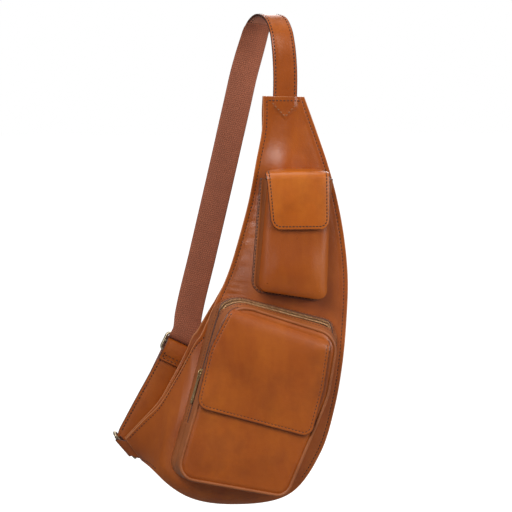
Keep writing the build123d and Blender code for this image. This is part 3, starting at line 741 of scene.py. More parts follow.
def teeth(shape, points, outward, reach=2.7):
    """Two rows of moulded teeth that mesh: each has a base on the tape and narrows to a rounded head."""
    count = int(chords(points)[-1] / TOOTH_PITCH)
    spots = resample(points, 2 * count + 1)
    for k in range(1, 2 * count):
        along = (spots[k + 1] - spots[k - 1]).normalized()
        out = outward(k / (2.0 * count))
        out = (out - along * out.dot(along)).normalized()
        across = along.cross(out) * (-1 if k % 2 else 1)
        rows = []
        for a, half, tall in ((0.0, 0.42, 0.62), (0.55, 0.46, 0.8), (0.8, 0.34, 0.8), (1.0, 0.22, 0.5)):
            c = spots[k] - across * 0.45 + across * (reach * (a - 1.0))
            rows.append([c + along * (x * half) + out * (z * tall) for x, z in OCTAGON])
        shape.closed(rows)


def rounded_box(width, height, radius, steps=5):
    """Outline of a rounded rectangle about the origin."""
    found = []
    for cx, cy, start in ((1, 1, 0), (-1, 1, 90), (-1, -1, 180), (1, -1, 270)):
        for k in range(steps + 1):
            t = math.radians(start + 90 * k / steps)
            x = cx * (width / 2 - radius) + radius * math.cos(t)
            found.append((x, cy * (height / 2 - radius) + radius * math.sin(t)))
    return found


class Axes:
    """A local frame: x along the zip, z outwards."""

    def __init__(self, origin, x, z):
        self.origin, self.x = origin, x.normalized()
        self.z = (z - self.x * z.dot(self.x)).normalized()
        self.y = self.z.cross(self.x)

    def at(self, x, y, z):
        return self.origin + self.x * x + self.y * y + self.z * z


SLIDER_GAP = 2.3
SLIDER_TOP = SLIDER_GAP / 2 + 1.0
PULL_LEVEL = SLIDER_TOP + 0.85
SHIELD = ((-4.5, 2.6), (-4.1, 3.6), (-2.6, 4.05), (-0.6, 4.0), (1.6, 3.5), (3.6, 3.1), (4.3, 2.7), (4.5, 1.9))
PULL = (
    (-1.1, 1.6), (-0.9, 2.3), (-0.3, 2.75), (1.0, 2.85), (6.0, 2.7), (9.0, 2.05), (14.0, 1.95), (24.0, 2.3),
    (29.0, 2.75), (32.0, 2.6), (33.4, 1.9), (34.0, 0.8),
)


def mirrored(half):
    """A closed outline from one half of it."""
    return list(half) + [(x, -y) for x, y in reversed(half)]


def zip_pull(prefix, axes):
    """A cast slider, with two shield-shaped plates, a wedge and a bridge, and its slim pull with a window."""
    shape = Shape()

    def add(outlines, thick, bevel, y=0.0, z=0.0):
        shape.absorb(plate_mesh(outlines, thick, bevel), lambda c: axes.at(c.x, c.y + y, c.z + z))

    for level in (SLIDER_TOP - 0.5, -SLIDER_TOP + 0.5):
        add([mirrored(SHIELD)], 1.0, 0.3, z=level)
    add([rounded_box(5.0, 0.9, 0.3)], SLIDER_GAP, 0.1)
    for side in (-1, 1):
        add([rounded_box(6.6, 0.8, 0.3)], 0.9, 0.2, side * 3.5, SLIDER_TOP - 1.3)
    arch = [math.pi * k / 16 for k in range(17)]
    bridge = [axes.at(-2.7 * math.cos(t), 0, SLIDER_TOP - 0.3 + 2.35 * math.sin(t) ** 0.75) for t in arch]
    shape.tube(bridge, 0.95, up=axes.y, flat=0.5)
    make(prefix + "_zip_slider_brass", shape, [brass], prefix + "_zip_slider", prefix + "_slider", sharp=40)
    shape = Shape()
    window = [(4.1 + x, y) for x, y in rounded_box(6.6, 3.1, 1.2)]
    eye = [(29.5 + 1.3 * math.cos(t), 1.3 * math.sin(t)) for t in [2 * math.pi * k / 20 for k in range(20)]]
    add([mirrored(PULL), window, eye], 1.2, 0.35, z=PULL_LEVEL)
    make(prefix + "_zip_puller_brass", shape, [brass], prefix + "_zip_puller", prefix + "_puller", sharp=40)


CHAIN_START, CHAIN_END, TAPE_STEPS = 1.0, 15.0, 280
chain_line = run_along(CHAIN_START + 0.02, CHAIN_END - 0.05, lambda s: ZIP_INSET, lambda s, d: s.chain_y(), 0.05)
main_teeth = Shape()
teeth(main_teeth, chain_line, lambda t: Vector((-1, -0.15, 0)))
make("main_zip_teeth_brass", main_teeth, [tooth_brass], "main_zip_teeth")


def main_tape(side, low, high):
    """A woven tape from a panel to the teeth, along the channel."""
    rows_out, rows_in = [], []
    for k in range(TAPE_STEPS + 1):
        s = Section(CHAIN_START + (CHAIN_END - CHAIN_START) * k / TAPE_STEPS)
        a, b = low(s), high(s)
        line = [a + (b - a) * t for t in (0, 0.25, 0.5, 0.75, 1.0)]
        rows_out.append([s.point(ZIP_INSET - 0.35, y) for y in line])
        rows_in.append([s.point(ZIP_INSET + 0.35, y) for y in line])
    runs = chords([row[2] for row in rows_out])
    shape = Shape()
    shape.shell(rows_out, rows_in, weave=lambda i, j: (rows_out[i][j].y, runs[i]))
    make("main_tape_" + side, shape, [tape_cloth], "main_zip_tape_" + side)


main_tape("front", lambda s: s.front(ZIP_INSET) + 1.6, lambda s: s.chain_y() - 2.2)
main_tape("back", lambda s: s.chain_y() + 2.2, lambda s: s.back(ZIP_INSET) - 1.6)

stops = Shape()
for u, toward in ((CHAIN_START, 1.6), (CHAIN_END, -3.4)):
    s = Section(u)
    centre = s.point(ZIP_INSET, s.chain_y()) + Vector((0, 0, toward))
    block = plate_mesh([rounded_box(2.4, 5.8, 0.7)], 2.2, 0.4)
    stops.absorb(block, lambda c, o=centre: o + Vector((c.z, c.y, c.x)))
make("main_zip_stops_brass", stops, [brass], "main_zip_stops", sharp=40)


def station_chain(i):
    """The chain's centre at a whole station."""
    p = lefts[i] + (rights[i] - lefts[i]).normalized() * ZIP_INSET
    row = STATIONS[i]
    return at_depth(p, row[4] + row[5] + LEATHER + row[7] / 2)


main_down = (station_chain(3) - station_chain(1)).normalized()
zip_pull("main", Axes(station_chain(1) + main_down * 7.0, main_down, Vector((-1, 0, 0))))


# ---------------------------------------------------------------- outlines


def rounded(corners, radii, arc=9):
    """A closed run of points round an outline with rounded corners."""
    points = [Vector((x, 0, z)) for x, z in corners]
    found = []
    for i, radius in enumerate(radii):
        before, here, after = points[i - 1], points[i], points[(i + 1) % len(points)]
        a, b = (before - here).normalized(), (after - here).normalized()
        opening = a.angle(b)
        reach = radius / math.tan(opening / 2)
        centre = here + (a + b).normalized() * (radius / math.sin(opening / 2))
        start, end = here + a * reach - centre, here + b * reach - centre
        found += [centre + start.slerp(end, k / arc).normalized() * radius for k in range(arc + 1)]
    return found


def outwards(path, closed=True):
    """Directions out of a clockwise path."""
    found, last = [], len(path) - 1
    for j in range(last + 1):
        before, after = (j - 1, (j + 1) % len(path)) if closed else (max(j - 1, 0), min(j + 1, last))
        d = path[after] - path[before]
        found.append(Vector((-d.z, 0, d.x)).normalized())
    return found


SHRINK = (0.9, 0.8, 0.69, 0.57, 0.45, 0.33, 0.22, 0.12, 0.04)


def rings(loop, insets):
    """Rings from an outline to its middle: first at set distances in, then shrinking."""
    normals = outwards(loop)
    made = [[p - n * inset for p, n in zip(loop, normals)] for inset in insets]
    inmost = made[-1]
    centre = sum(inmost, Vector()) / len(loop)
    return made + [[centre + (p - centre) * f for p in inmost] for f in SHRINK]


def raised(ring, depth):
    """The same ring with its depth given by a function of its points."""
    return [at_depth(p, depth(p)) for p in ring]


def sheet(shape, loop, insets, depth, thick, marks=(), weave=False, grooves=()):
    """A sheet inside a closed outline. marks and grooves are for its first rings. Gives its outer rings."""
    outer = [raised(ring, depth) for ring in rings(loop, insets)]
    outer = [[p + Vector((0, listed(grooves, i), 0)) for p in ring] for i, ring in enumerate(outer)]
    inner = [[p + Vector((0, thick, 0)) for p in ring] for ring in outer]
    woven_at = (lambda i, j: (outer[i][j].x, outer[i][j].z)) if weave else None
    shape.shell(outer, inner, mark=lambda i, j: listed(marks, i), weave=woven_at, loop=True, cap=True)
    return outer


# ------------------------------------------------------------------ large pocket

WALL = 260
LEVEL_STEP = 0.5
LEVELS = 67
BAND = 1.5

# The wall's section at its sides and along its top: depth, then how far it has drawn in from base
# to face and how far it bulges out, for each
SECTION = [
    (0.0, 0.0, 0.6, 0.0, 0.6), (-4.0, 0.1, 1.0, 0.0, 1.3), (-9.0, 0.25, 1.5, 0.03, 2.2), (-12.0, 0.35, 0.7, 0.12, 2.4),
    (-15.0, 0.45, -0.3, 0.3, 2.1), (-18.0, 0.54, 0.6, 0.5, 1.6), (-21.0, 0.63, 1.4, 0.64, 1.2),
    (-26.0, 0.8, 0.9, 0.82, 0.8), (-30.0, 0.94, 0.3, 0.95, 0.3), (-33.0, 1.0, -0.6, 1.0, -0.6),
]
section_knots = [-row[0] for row in SECTION]
side_in, side_bulge, top_in, top_bulge = (
    Curve([row[k] for row in SECTION], section_knots, True) for k in (1, 2, 3, 4)
)


def outline_at(share):
    """The pocket's outline between its base, 0, and its face, 1, with its outward directions."""
    corners = [(b[0] + (f[0] - b[0]) * share, b[1] + (f[1] - b[1]) * share) for b, f in zip(POCKET_BASE, POCKET_FACE)]
    loop = resample(rounded(corners, POCKET_RADII), WALL, True)
    return loop, outwards(loop)


def section_place(want):
    """The place of a depth in SECTION, as a station number with a fraction."""
    i = max(k for k in range(len(section_knots) - 1) if section_knots[k] <= want + 1e-9)
    return i + (want - section_knots[i]) / (section_knots[i + 1] - section_knots[i])


def wall_level(spot):
    """The wall's outline at one depth: its points and outward directions."""
    level = []
    for a, a_out, b, b_out in zip(*outline_at(side_in.at(spot)), *outline_at(top_in.at(spot))):
        share = smooth((a_out.z - 0.42) / 0.4)
        bulge = side_bulge.at(spot) * (1 - share) + top_bulge.at(spot) * share
        outward = a_out.lerp(b_out, share).normalized()
        level.append((a.lerp(b, share) + outward * bulge, outward))
    return level


wall_levels = [wall_level(section_place(k * LEVEL_STEP)) for k in range(LEVELS)]


def wall_at(j, y, out=0.0):
    """A point of the wall: column, depth, and distance outwards from its surface."""
    k = max(0.0, min(LEVELS - 1.001, -y / LEVEL_STEP))
    i = int(k)
    near, far = (level[j][0] + level[j][1] * out for level in wall_levels[i : i + 2])
    return at_depth(near.lerp(far, k - i), y)


# The zip ends on a slanting line: a spot on it, and its fall to the right
ZIP_END, ZIP_END_FALL = Vector((-140, 0, -430)), 60 / 280


def above_zip_end(p):
    return p.z > ZIP_END.z - (p.x - ZIP_END.x) * ZIP_END_FALL


middle_loop = [wall_at(j, ZIP_CENTRE) for j in range(WALL)]
middle_out = outwards(middle_loop)
start = next(j for j in range(WALL) if above_zip_end(middle_loop[j]) and not above_zip_end(middle_loop[j - 1]))
order = [(start + k) % WALL for k in range(WALL)]
zip_order = [j for j in order if above_zip_end(middle_loop[j])]
low_order = zip_order[-2:] + [j for j in order if not above_zip_end(middle_loop[j])] + zip_order[:2]
openness = [smooth((n.z - 0.4) / 0.45) for n in middle_out]
half_gap = [1.3 + 2.3 * w for w in openness]
recess = [2.0 - 1.2 * w for w in openness]


def wall_piece(name, columns_used, levels, thick, node_name, marked_rows=(), stitch_row=None):
    """Part of the pocket's wall. levels(j) gives rows of depth, or None on the body, and distance out."""
    outer, inner = [], []
    for row in range(len(levels(0))):
        for rows, inwards in ((outer, 0.0), (inner, thick)):
            line = []
            for j in columns_used:
                y, out = levels(j)[row]
                q = wall_at(j, -1.0 if y is None else y, out - inwards)
                line.append(at_depth(q, front_y(q.x, q.z) + 0.6) if y is None else q)
            rows.append(line)
    shape = Shape()
    shape.shell(outer, inner, mark=lambda i, j: dict(marked_rows).get(i, 0.0))
    if stitch_row is not None:
        shape.stitches(outer[stitch_row], lambda p: at_depth(p, 0) - POCKET_MIDDLE, 1, 3.4, 2.2, 0.4, -0.05)
    make(name, shape, [band_leather, thread], node_name, bevel=0.3)


def rear_levels(j):
    lip = ZIP_CENTRE + half_gap[j]
    rows = [(None, 0.1), (-1.8, -0.2)] + [(-1.8 + (lip + 1.8) * t, 0.0) for t in (0.2, 0.4, 0.6, 0.78, 0.9)]
    return rows + [(lip, -0.15), (lip - 0.25, -0.7)]


def front_levels(j):
    lip = ZIP_CENTRE - half_gap[j]
    rows = [(lip + (-31.0 - lip) * t, 0.0) for t in (0.1, 0.22, 0.4, 0.6, 0.8, 1.0)]
    return [(lip + 0.25, -0.7), (lip, -0.15)] + rows + [(-32.4, -0.2)]


def gusset_levels(j):
    levels = [(y, 0.7) for y in (-5.0, -9.0, -12.0, -15.0, -18.0, -21.0)]
    return [(None, 0.9), (-2.0, 0.6)] + levels + [(-25.0, 0.6), (-29.0, 0.4), (-32.4, 0.0)]


rear_marks, front_marks = {8: 1.0, 7: 0.75, 6: 0.2}, {0: 1.0, 1: 0.75, 2: 0.2}
wall_piece("pocket_band_rear", zip_order, rear_levels, BAND, "pocket_zip_band_rear", rear_marks, 5)
wall_piece("pocket_band_front", zip_order, front_levels, BAND, "pocket_zip_band_front", front_marks, 3)
wall_piece("pocket_gusset_leather", low_order, gusset_levels, LEATHER, "pocket_gusset")

tape_shape = Shape()
for sign in (1, -1):
    outer, inner = [], []
    for share in (0.0, 0.3, 0.6, 1.0):
        ys = [ZIP_CENTRE + sign * (2.2 + (half_gap[j] + 0.4) * share) for j in zip_order]
        outer.append([wall_at(j, y, -recess[j] - 0.5) for j, y in zip(zip_order, ys)])
        inner.append([wall_at(j, y, -recess[j] - 1.1) for j, y in zip(zip_order, ys)])
    lengths = chords(outer[1])
    tape_shape.shell(outer, inner, weave=lambda i, j: (outer[i][j].y, lengths[j]))
make("pocket_tape", tape_shape, [tape_cloth], "pocket_zip_tape")

chain = [wall_at(j, ZIP_CENTRE, -recess[j]) for j in zip_order]
chain_out = []
for k, j in enumerate(zip_order):
    along = chain[min(k + 1, len(chain) - 1)] - chain[max(k - 1, 0)]
    over = wall_at(j, ZIP_CENTRE - 3, -recess[j]) - wall_at(j, ZIP_CENTRE + 3, -recess[j])
    out = along.cross(over).normalized()
    chain_out.append(out if out.dot(middle_out[j]) > 0 else -out)
pocket_teeth = Shape()
teeth(pocket_teeth, chain, lambda t: chain_out[min(len(chain) - 1, int(t * len(chain)))], 2.8)
make("pocket_zip_teeth_brass", pocket_teeth, [tooth_brass], "pocket_zip_teeth")

# The zip's straight run down the pocket's left side, between the first and the last corner
base_top, base_low = (Vector((POCKET_BASE[i][0], 0, POCKET_BASE[i][1])) for i in (0, -1))
face_top, face_low = (Vector((POCKET_FACE[i][0], -POCKET_DEPTH, POCKET_FACE[i][1])) for i in (0, -1))
zip_fraction = -ZIP_CENTRE / POCKET_DEPTH
zip_top = base_top.lerp(face_top, zip_fraction)
side_down = (base_low.lerp(face_low, zip_fraction) - zip_top).normalized()
pocket_out = (face_top - base_top).cross(side_down).normalized()
if pocket_out.x > 0:
    pocket_out = -pocket_out
on_side = zip_top + side_down * POCKET_SLIDER
lips = min((middle_loop[j] for j in zip_order), key=lambda p: (p - on_side).length)
slider_lift = (lips - on_side).dot(pocket_out) - SEAT
zip_pull("pocket", Axes(on_side + pocket_out * slider_lift, side_down, pocket_out))

face_loop, face_out = outline_at(1.0)
piping_shape = Shape()
piping_line = [at_depth(p + n * 0.9, POCKET_FRONT) for p, n in zip(face_loop, face_out)]
piping_shape.tube(piping_line, 1.75, closed=True, sides=14, up=(0, 1, 0))
make("pocket_piping_leather", piping_shape, [band_leather], "pocket_piping")
face_seam = search_tree([at_depth(p, 0) for p in face_loop])


def pocket_face_y(p):
    """The pocket's front: held at its seam, full in the middle and fuller low down."""
    inside = face_seam.find(at_depth(p, 0))[2]
    low = bell(p.z + 482, 38) * bell(p.x + 34, 70)
    crumple = 0.35 * noise.noise(p * 0.03 + Vector((3, 0, 1)))
    return -32.9 - 1.5 * smooth(inside / 3.5) - (0.9 + 1.7 * low + crumple) * smooth(inside / 34)


face_shape = Shape()
sheet(face_shape, face_loop, (0.0, 0.9, 2.0, 3.4, 5.5, 9.0), pocket_face_y, LEATHER, (0.62, 0.2))
make("pocket_front_leather", face_shape, [flap_leather], "pocket_front")

pocket_cloth = Shape()
cloth_levels = (-4.0, -10.0, -16.0, -22.0, -28.0, -30.4)
cloth_outer, cloth_inner = ([[wall_at(j, y, out) for j in range(WALL)] for y in cloth_levels] for out in (-4.6, -5.2))
pocket_cloth.shell(cloth_outer, cloth_inner, loop=True, weave=lambda i, j: (cloth_outer[i][j].y, j * 2.0))
sheet(pocket_cloth, [at_depth(p, 0) for p in cloth_outer[-1]], (0.0, 6.0), lambda p: -31.0, CLOTH, weave=True)
make("pocket_lining_cloth", pocket_cloth, [lining_weave], "pocket_lining")

# Flap of the large pocket
FLAP_COUNT = 220
FLAP_ROOT = 7.0
flap_loop = resample(rounded(FLAP_CORNERS, FLAP_RADII), FLAP_COUNT, True)
hinge_a, hinge_b = Vector((-38, 0, -312)), Vector((69, 0, -349))
hinge_along = (hinge_b - hinge_a).normalized()
hinge_down = Vector((hinge_along.z, 0, -hinge_along.x))


def below_hinge(p):
    return (p - hinge_a).dot(hinge_down)


def flap_y(p):
    """Outer face of the flap: it leaves the seam at its top and stands off the pocket lower down."""
    inside = min((p - q).length for q in flap_loop[::3])
    crumple = 0.4 * noise.noise(p * 0.022 + Vector((1, 0, 8)))
    y = -39.3 + 6.4 * bell(below_hinge(p), FLAP_ROOT) - (1.3 + crumple) * smooth(inside / 30)
    return y + 0.5 * roll(inside, 3.0) - 0.5 * smooth(below_hinge(p) / 100)


flap_shape = Shape()
FLAP_INSETS = (0.0, 0.8, 1.9, 2.7, 3.4, 4.1, 5.2, 8.0)
flap_outer = sheet(
    flap_shape, flap_loop, FLAP_INSETS, flap_y, LEATHER, (1.0, 0.6, 0.2), grooves=(0, 0, 0, 0.1, 0.35, 0.1)
)
sewn = flap_outer[4]
under = [below_hinge(p) > FLAP_ROOT for p in sewn]
first = next(k for k in range(FLAP_COUNT) if under[k] and not under[k - 1])
flap_shape.stitches([sewn[(first + k) % FLAP_COUNT] for k in range(sum(under))], (0, -1, 0), lift=-0.1)
hinge_point = Vector((15.63, -36.75, -330.12))
flap_leaf = {"body": "pocket_flap_leaf", "blend": (hinge_point - hinge_down * 1.0, hinge_point + hinge_down * 10.0)}
make("pocket_flap_leather", flap_shape, [flap_leather, thread], "pocket_flap", bevel=0.45, **flap_leaf)

flap_inside = Shape()
sheet(flap_inside, flap_loop, (1.8, 3.0, 5.0, 8.0), lambda p: flap_y(p) + LEATHER + 0.15, CLOTH, (0.75, 0.2))
make("pocket_flap_inside", flap_inside, [inner_leather_painted_light], "pocket_flap_lining", **flap_leaf)

SNAP = (
    (6.4, 0.0), (7.0, 0.15), (7.0, 0.75), (6.6, 0.95), (5.6, 1.0), (5.2, 0.8), (3.2, 0.75), (2.8, 0.95), (1.6, 1.0),
    (0.4, 0.95),
)


def snap(name, centre, sign, body, node_name):
    """Half of a magnetic snap: a rimmed disc with a shallow dish."""
    turns = [2 * math.pi * k / 40 for k in range(40)]
    shape = Shape()
    shape.closed([[centre + Vector((r * math.cos(t), sign * d, r * math.sin(t))) for t in turns] for r, d in SNAP])
    make(name, shape, [steel], node_name, body, sharp=50)


spot = Vector((-6.0, 0, -432.0))
snap("pocket_snap_lower", at_depth(spot, pocket_face_y(spot) + 0.1), -1, "bag", "pocket_magnet_female")
snap("pocket_snap_upper", at_depth(spot, flap_y(spot) + LEATHER + 0.65), 1, "pocket_flap_leaf", "pocket_magnet_male")


# ------------------------------------------------------------------ phone pocket

PHONE_WALL = 150
ARC_POINTS = 10
left_top, right_top, low_right, low_left = (Vector((x, 0, z)) for x, z in PHONE_CORNERS)
phone_loop = resample(rounded(PHONE_CORNERS, (0.5, 0.5, 10, 10)), 240, True)
open_run = rounded(PHONE_CORNERS, (0.01, 0.01, 10, 10))
phone_path = resample(open_run[ARC_POINTS * 2 - 1 :] + open_run[:1], PHONE_WALL)
phone_out = outwards(phone_path, False)


def phone_ring(y, out, seated=False):
    """One row of the phone pocket's wall. The mouth flares a little at the right."""
    found = []
    fold = math.sin(math.pi * max(0.0, min(1.0, -y / 26)))
    for p, n in zip(phone_path, phone_out):
        flare = 3.6 * bell(p.z + 180, 20) * (1 if p.x > 35 else 0.25) * fold
        q = p + n * (out + flare)
        found.append(at_depth(q, front_y(q.x, q.z) + y if seated else y))
    return found


# The wall's rows: outer depth and distance out, inner depth and distance out. The first ones are on the body.
PHONE_ROWS = [
    (-1.5, 3.6, 0.1, 3.6), (-1.7, 2.9, 0.1, 2.9), (-1.5, 2.0, 0.1, 2.0), (-1.7, 1.2, 0.1, 1.2), (-2.1, 0.5, -0.2, -0.2),
    (-3.4, 0.1, -2.0, -1.5), (-8.0, 0.2, -8.0, -1.6), (-12.0, 0.5, -12.0, -1.3), (-16.0, 0.6, -16.0, -1.2),
    (-20.0, 0.5, -20.0, -1.3), (-23.0, 0.2, -23.0, -1.6), (-25.6, -0.1, -25.6, -1.9),
]
SEATED_ROWS = 6
phone_outer, phone_inner = (
    [phone_ring(row[k], row[k + 1], i < SEATED_ROWS) for i, row in enumerate(PHONE_ROWS)] for k in (0, 2)
)
phone_wall = Shape()
phone_wall.shell(
    phone_outer, phone_inner,
    mark=lambda i, j: max(listed((1.0, 0.6, 0.25), i), 0.9 if j in (0, PHONE_WALL - 1) else 0.0),
)
phone_wall.stitches(phone_outer[2], (0, -1, 0), pitch=3.6, length=2.6)
make("phone_gusset_leather", phone_wall, [band_leather, thread], "phone_pocket_gusset", bevel=0.35)


def line_distance(p, a, b):
    """How far p lies to the right of the line from a to b, seen from the front."""
    d = (b - a).normalized()
    return (p - a).dot(Vector((d.z, 0, -d.x)))


def phone_inside(p):
    """Rounded distance to the pocket's sides and bottom."""
    softness = 3.0
    sides = ((right_top, low_right), (low_right, low_left), (low_left, left_top))
    return -softness * math.log(sum(math.exp(-line_distance(p, a, b) / softness) for a, b in sides))


def phone_face_y(p):
    """Moulded front: it turns back at the sides and bottom and is full in the middle."""
    inside = phone_inside(p)
    turn = roll(inside + 1.5, 9.5)
    fullness = 0.6 + 2.6 * bell(p.z + 276, 26) + 0.3 * noise.noise(p * 0.04)
    return -29.4 + 4.8 * turn - fullness * smooth(inside / 22)


phone_front = Shape()
sheet(phone_front, phone_loop, (0.0, 0.6, 1.3, 2.2, 3.4, 5.0, 7.5, 10.0), phone_face_y, 1.8, (0.62, 0.2))
make("phone_front_leather", phone_front, [flap_leather], "phone_pocket_front", bevel=0.35)

phone_cloth = Shape()
cloth_depths = (-2.6, -8.0, -14.0, -20.0, -26.0)
cloth_outer, cloth_inner = (
    [[at_depth(p - n * gap + Vector((0, 0, -1.0)), y) for p, n in zip(phone_path, phone_out)] for y in cloth_depths]
    for gap in (2.6, 3.2)
)
phone_cloth.shell(cloth_outer, cloth_inner, weave=lambda i, j: (cloth_depths[i], j * 2.2))
for depth in (lambda p: front_y(p.x, p.z) - 1.0, lambda p: -26.8):
    sheet(phone_cloth, phone_loop, (2.8, 8.0), depth, CLOTH, weave=True)
make("phone_lining_cloth", phone_cloth, [lining_weave], "phone_pocket_lining")

# Flap of the phone pocket: a path over the mouth and down the front
FLAP_TOP, FLAP_LOW, BEND = -172.0, -233.0, 7.0
FLAP_REAR, FLAP_FRONT = -0.5, -35.1
CORNER = 11.0
HALF_FLAP = 33.0
roof_run = FLAP_REAR - (FLAP_FRONT + BEND)
bend_run = BEND * math.pi / 2
drop_run = (FLAP_TOP - BEND) - FLAP_LOW
FLAP_LENGTH = roof_run + bend_run + drop_run


def phone_flap_profile(s):
    """Y and Z of the flap's outer face at a distance s from its rear edge, with the outward direction."""
    if s < roof_run:
        t = s / roof_run
        return FLAP_REAR - s, FLAP_TOP + 0.9 * math.sin(math.pi * t) + 1.2 * (1 - t) ** 2, Vector((0, 0, 1))
    if s < roof_run + bend_run:
        t = (s - roof_run) / BEND
        out = Vector((0, -math.sin(t), math.cos(t)))
        return FLAP_FRONT + BEND + out.y * BEND, FLAP_TOP - BEND + out.z * BEND, out
    down = s - roof_run - bend_run
    belly = 0.8 * math.sin(math.pi * min(1.0, down / drop_run))
    return FLAP_FRONT - belly, FLAP_TOP - BEND - down, Vector((0, -1, 0))


def phone_flap_point(a, s, out=0.0):
    """a runs from -1 to 1 across the flap."""
    y, z, direction = phone_flap_profile(s)
    root = max(0.0, 1.0 - s / roof_run)
    left = 6.0 * max(0.0, FLAP_TOP - z) / (FLAP_TOP - FLAP_LOW) - 1.0 + 7.5 * root
    right = 67.5 - 3.0 * root
    x = (left + right) / 2 + a * (right - left) / 2
    crown = 1.3 * (1 - a * a) - 0.9 * abs(a) ** 8
    ripple = 0.3 * noise.noise(Vector((x * 0.04, s * 0.04, 2.0)))
    return Vector((x, y, z)) + direction * (crown + ripple + out)


def phone_flap_reach(s):
    """Share of the full half width at s, less over the rounded lower corners."""
    below = max(0.0, s - (FLAP_LENGTH - CORNER))
    return 1.0 - (CORNER - math.sqrt(max(0.0, CORNER**2 - below**2))) / 32.0


runs = [FLAP_LENGTH * 0.86 * k / 44 for k in range(45)]
corner_runs = [FLAP_LENGTH - CORNER * (1 - math.sin(math.pi / 2 * k / 14)) for k in range(15)]
runs += [s for s in corner_runs if s > runs[-1] + 0.4]
HALF_STEPS = (1.0, 0.976, 0.94, 0.905, 0.875, 0.83, 0.76, 0.66, 0.54, 0.4, 0.26, 0.12)
across_steps = [-h for h in HALF_STEPS] + [0.0] + list(reversed(HALF_STEPS))


def phone_flap_grid(out, trim=0.0):
    rows = []
    for s in runs:
        reach = phone_flap_reach(s) - trim / HALF_FLAP
        rows.append([phone_flap_point(a * reach, min(s, FLAP_LENGTH - trim), out) for a in across_steps])
    return rows


def phone_flap_mark(i, j):
    side = (1 - abs(across_steps[j])) * HALF_FLAP * phone_flap_reach(runs[i])
    return max(0.0, 1.0 - min(side, FLAP_LENGTH - runs[i]) / 1.8)


phone_flap = Shape()
phone_flap.shell(phone_flap_grid(0.0), phone_flap_grid(-LEATHER), mark=phone_flap_mark)
SEWN_IN = 3.3
seam = []
for side in (-1, 1):
    straight = [roof_run * 0.55 + (FLAP_LENGTH - CORNER - roof_run * 0.55) * k / 59 for k in range(60)]
    arm = [(side * (1 - SEWN_IN / HALF_FLAP), s) for s in straight]
    for k in range(1, 13):
        inwards = CORNER - (CORNER - SEWN_IN) * math.cos(math.pi / 2 * k / 12)
        below = (CORNER - SEWN_IN) * math.sin(math.pi / 2 * k / 12)
        arm.append((side * (1 - inwards / HALF_FLAP), FLAP_LENGTH - CORNER + below))
    seam.append(arm)
bottom = [((1 - CORNER / HALF_FLAP) * (k / 8 - 1), FLAP_LENGTH - SEWN_IN) for k in range(1, 16)]
phone_flap.stitches(
    [phone_flap_point(a, s) for a, s in seam[0] + bottom + seam[1][::-1]],
    lambda p: Vector((0, -1, 0)) if p.z < FLAP_TOP - BEND else Vector((0, -0.6, 0.8)), pitch=3.6, length=2.7,
)
phone_hinge = Vector((35.5, FLAP_REAR, FLAP_TOP))
phone_leaf = {
    "body": "phone_flap_leaf", "blend": (phone_hinge + Vector((0, 0.8, 0)), phone_hinge - Vector((0, 9.0, 0)))
}
# The phone flap wears the brighter leather, a painted highlight.
make("phone_flap_leather", phone_flap, [painted_highlight_leather, thread], "phone_flap", bevel=0.4, **phone_leaf)

phone_inside_shape = Shape()
phone_inside_shape.shell(
    phone_flap_grid(-LEATHER - 0.1, 1.8), phone_flap_grid(-LEATHER - 0.7, 1.8),
    mark=lambda i, j: 0.5 * phone_flap_mark(i, j),
)
make("phone_flap_inside", phone_inside_shape, [inner_leather_painted_light], "phone_flap_lining", **phone_leaf)
snap("phone_snap_lower", Vector((34.0, -30.2, -218.0)), -1, "bag", "phone_magnet_female")
snap("phone_snap_upper", Vector((34.0, -32.2, -218.0)), 1, "phone_flap_leaf", "phone_magnet_male")


# ------------------------------------------------------------------------ straps

STEPS = (1.0, 0.955, 0.87, 0.8, 0.74, 0.6, 0.42, 0.22)
COLUMNS = [-s for s in STEPS] + [0.0] + list(reversed(STEPS))


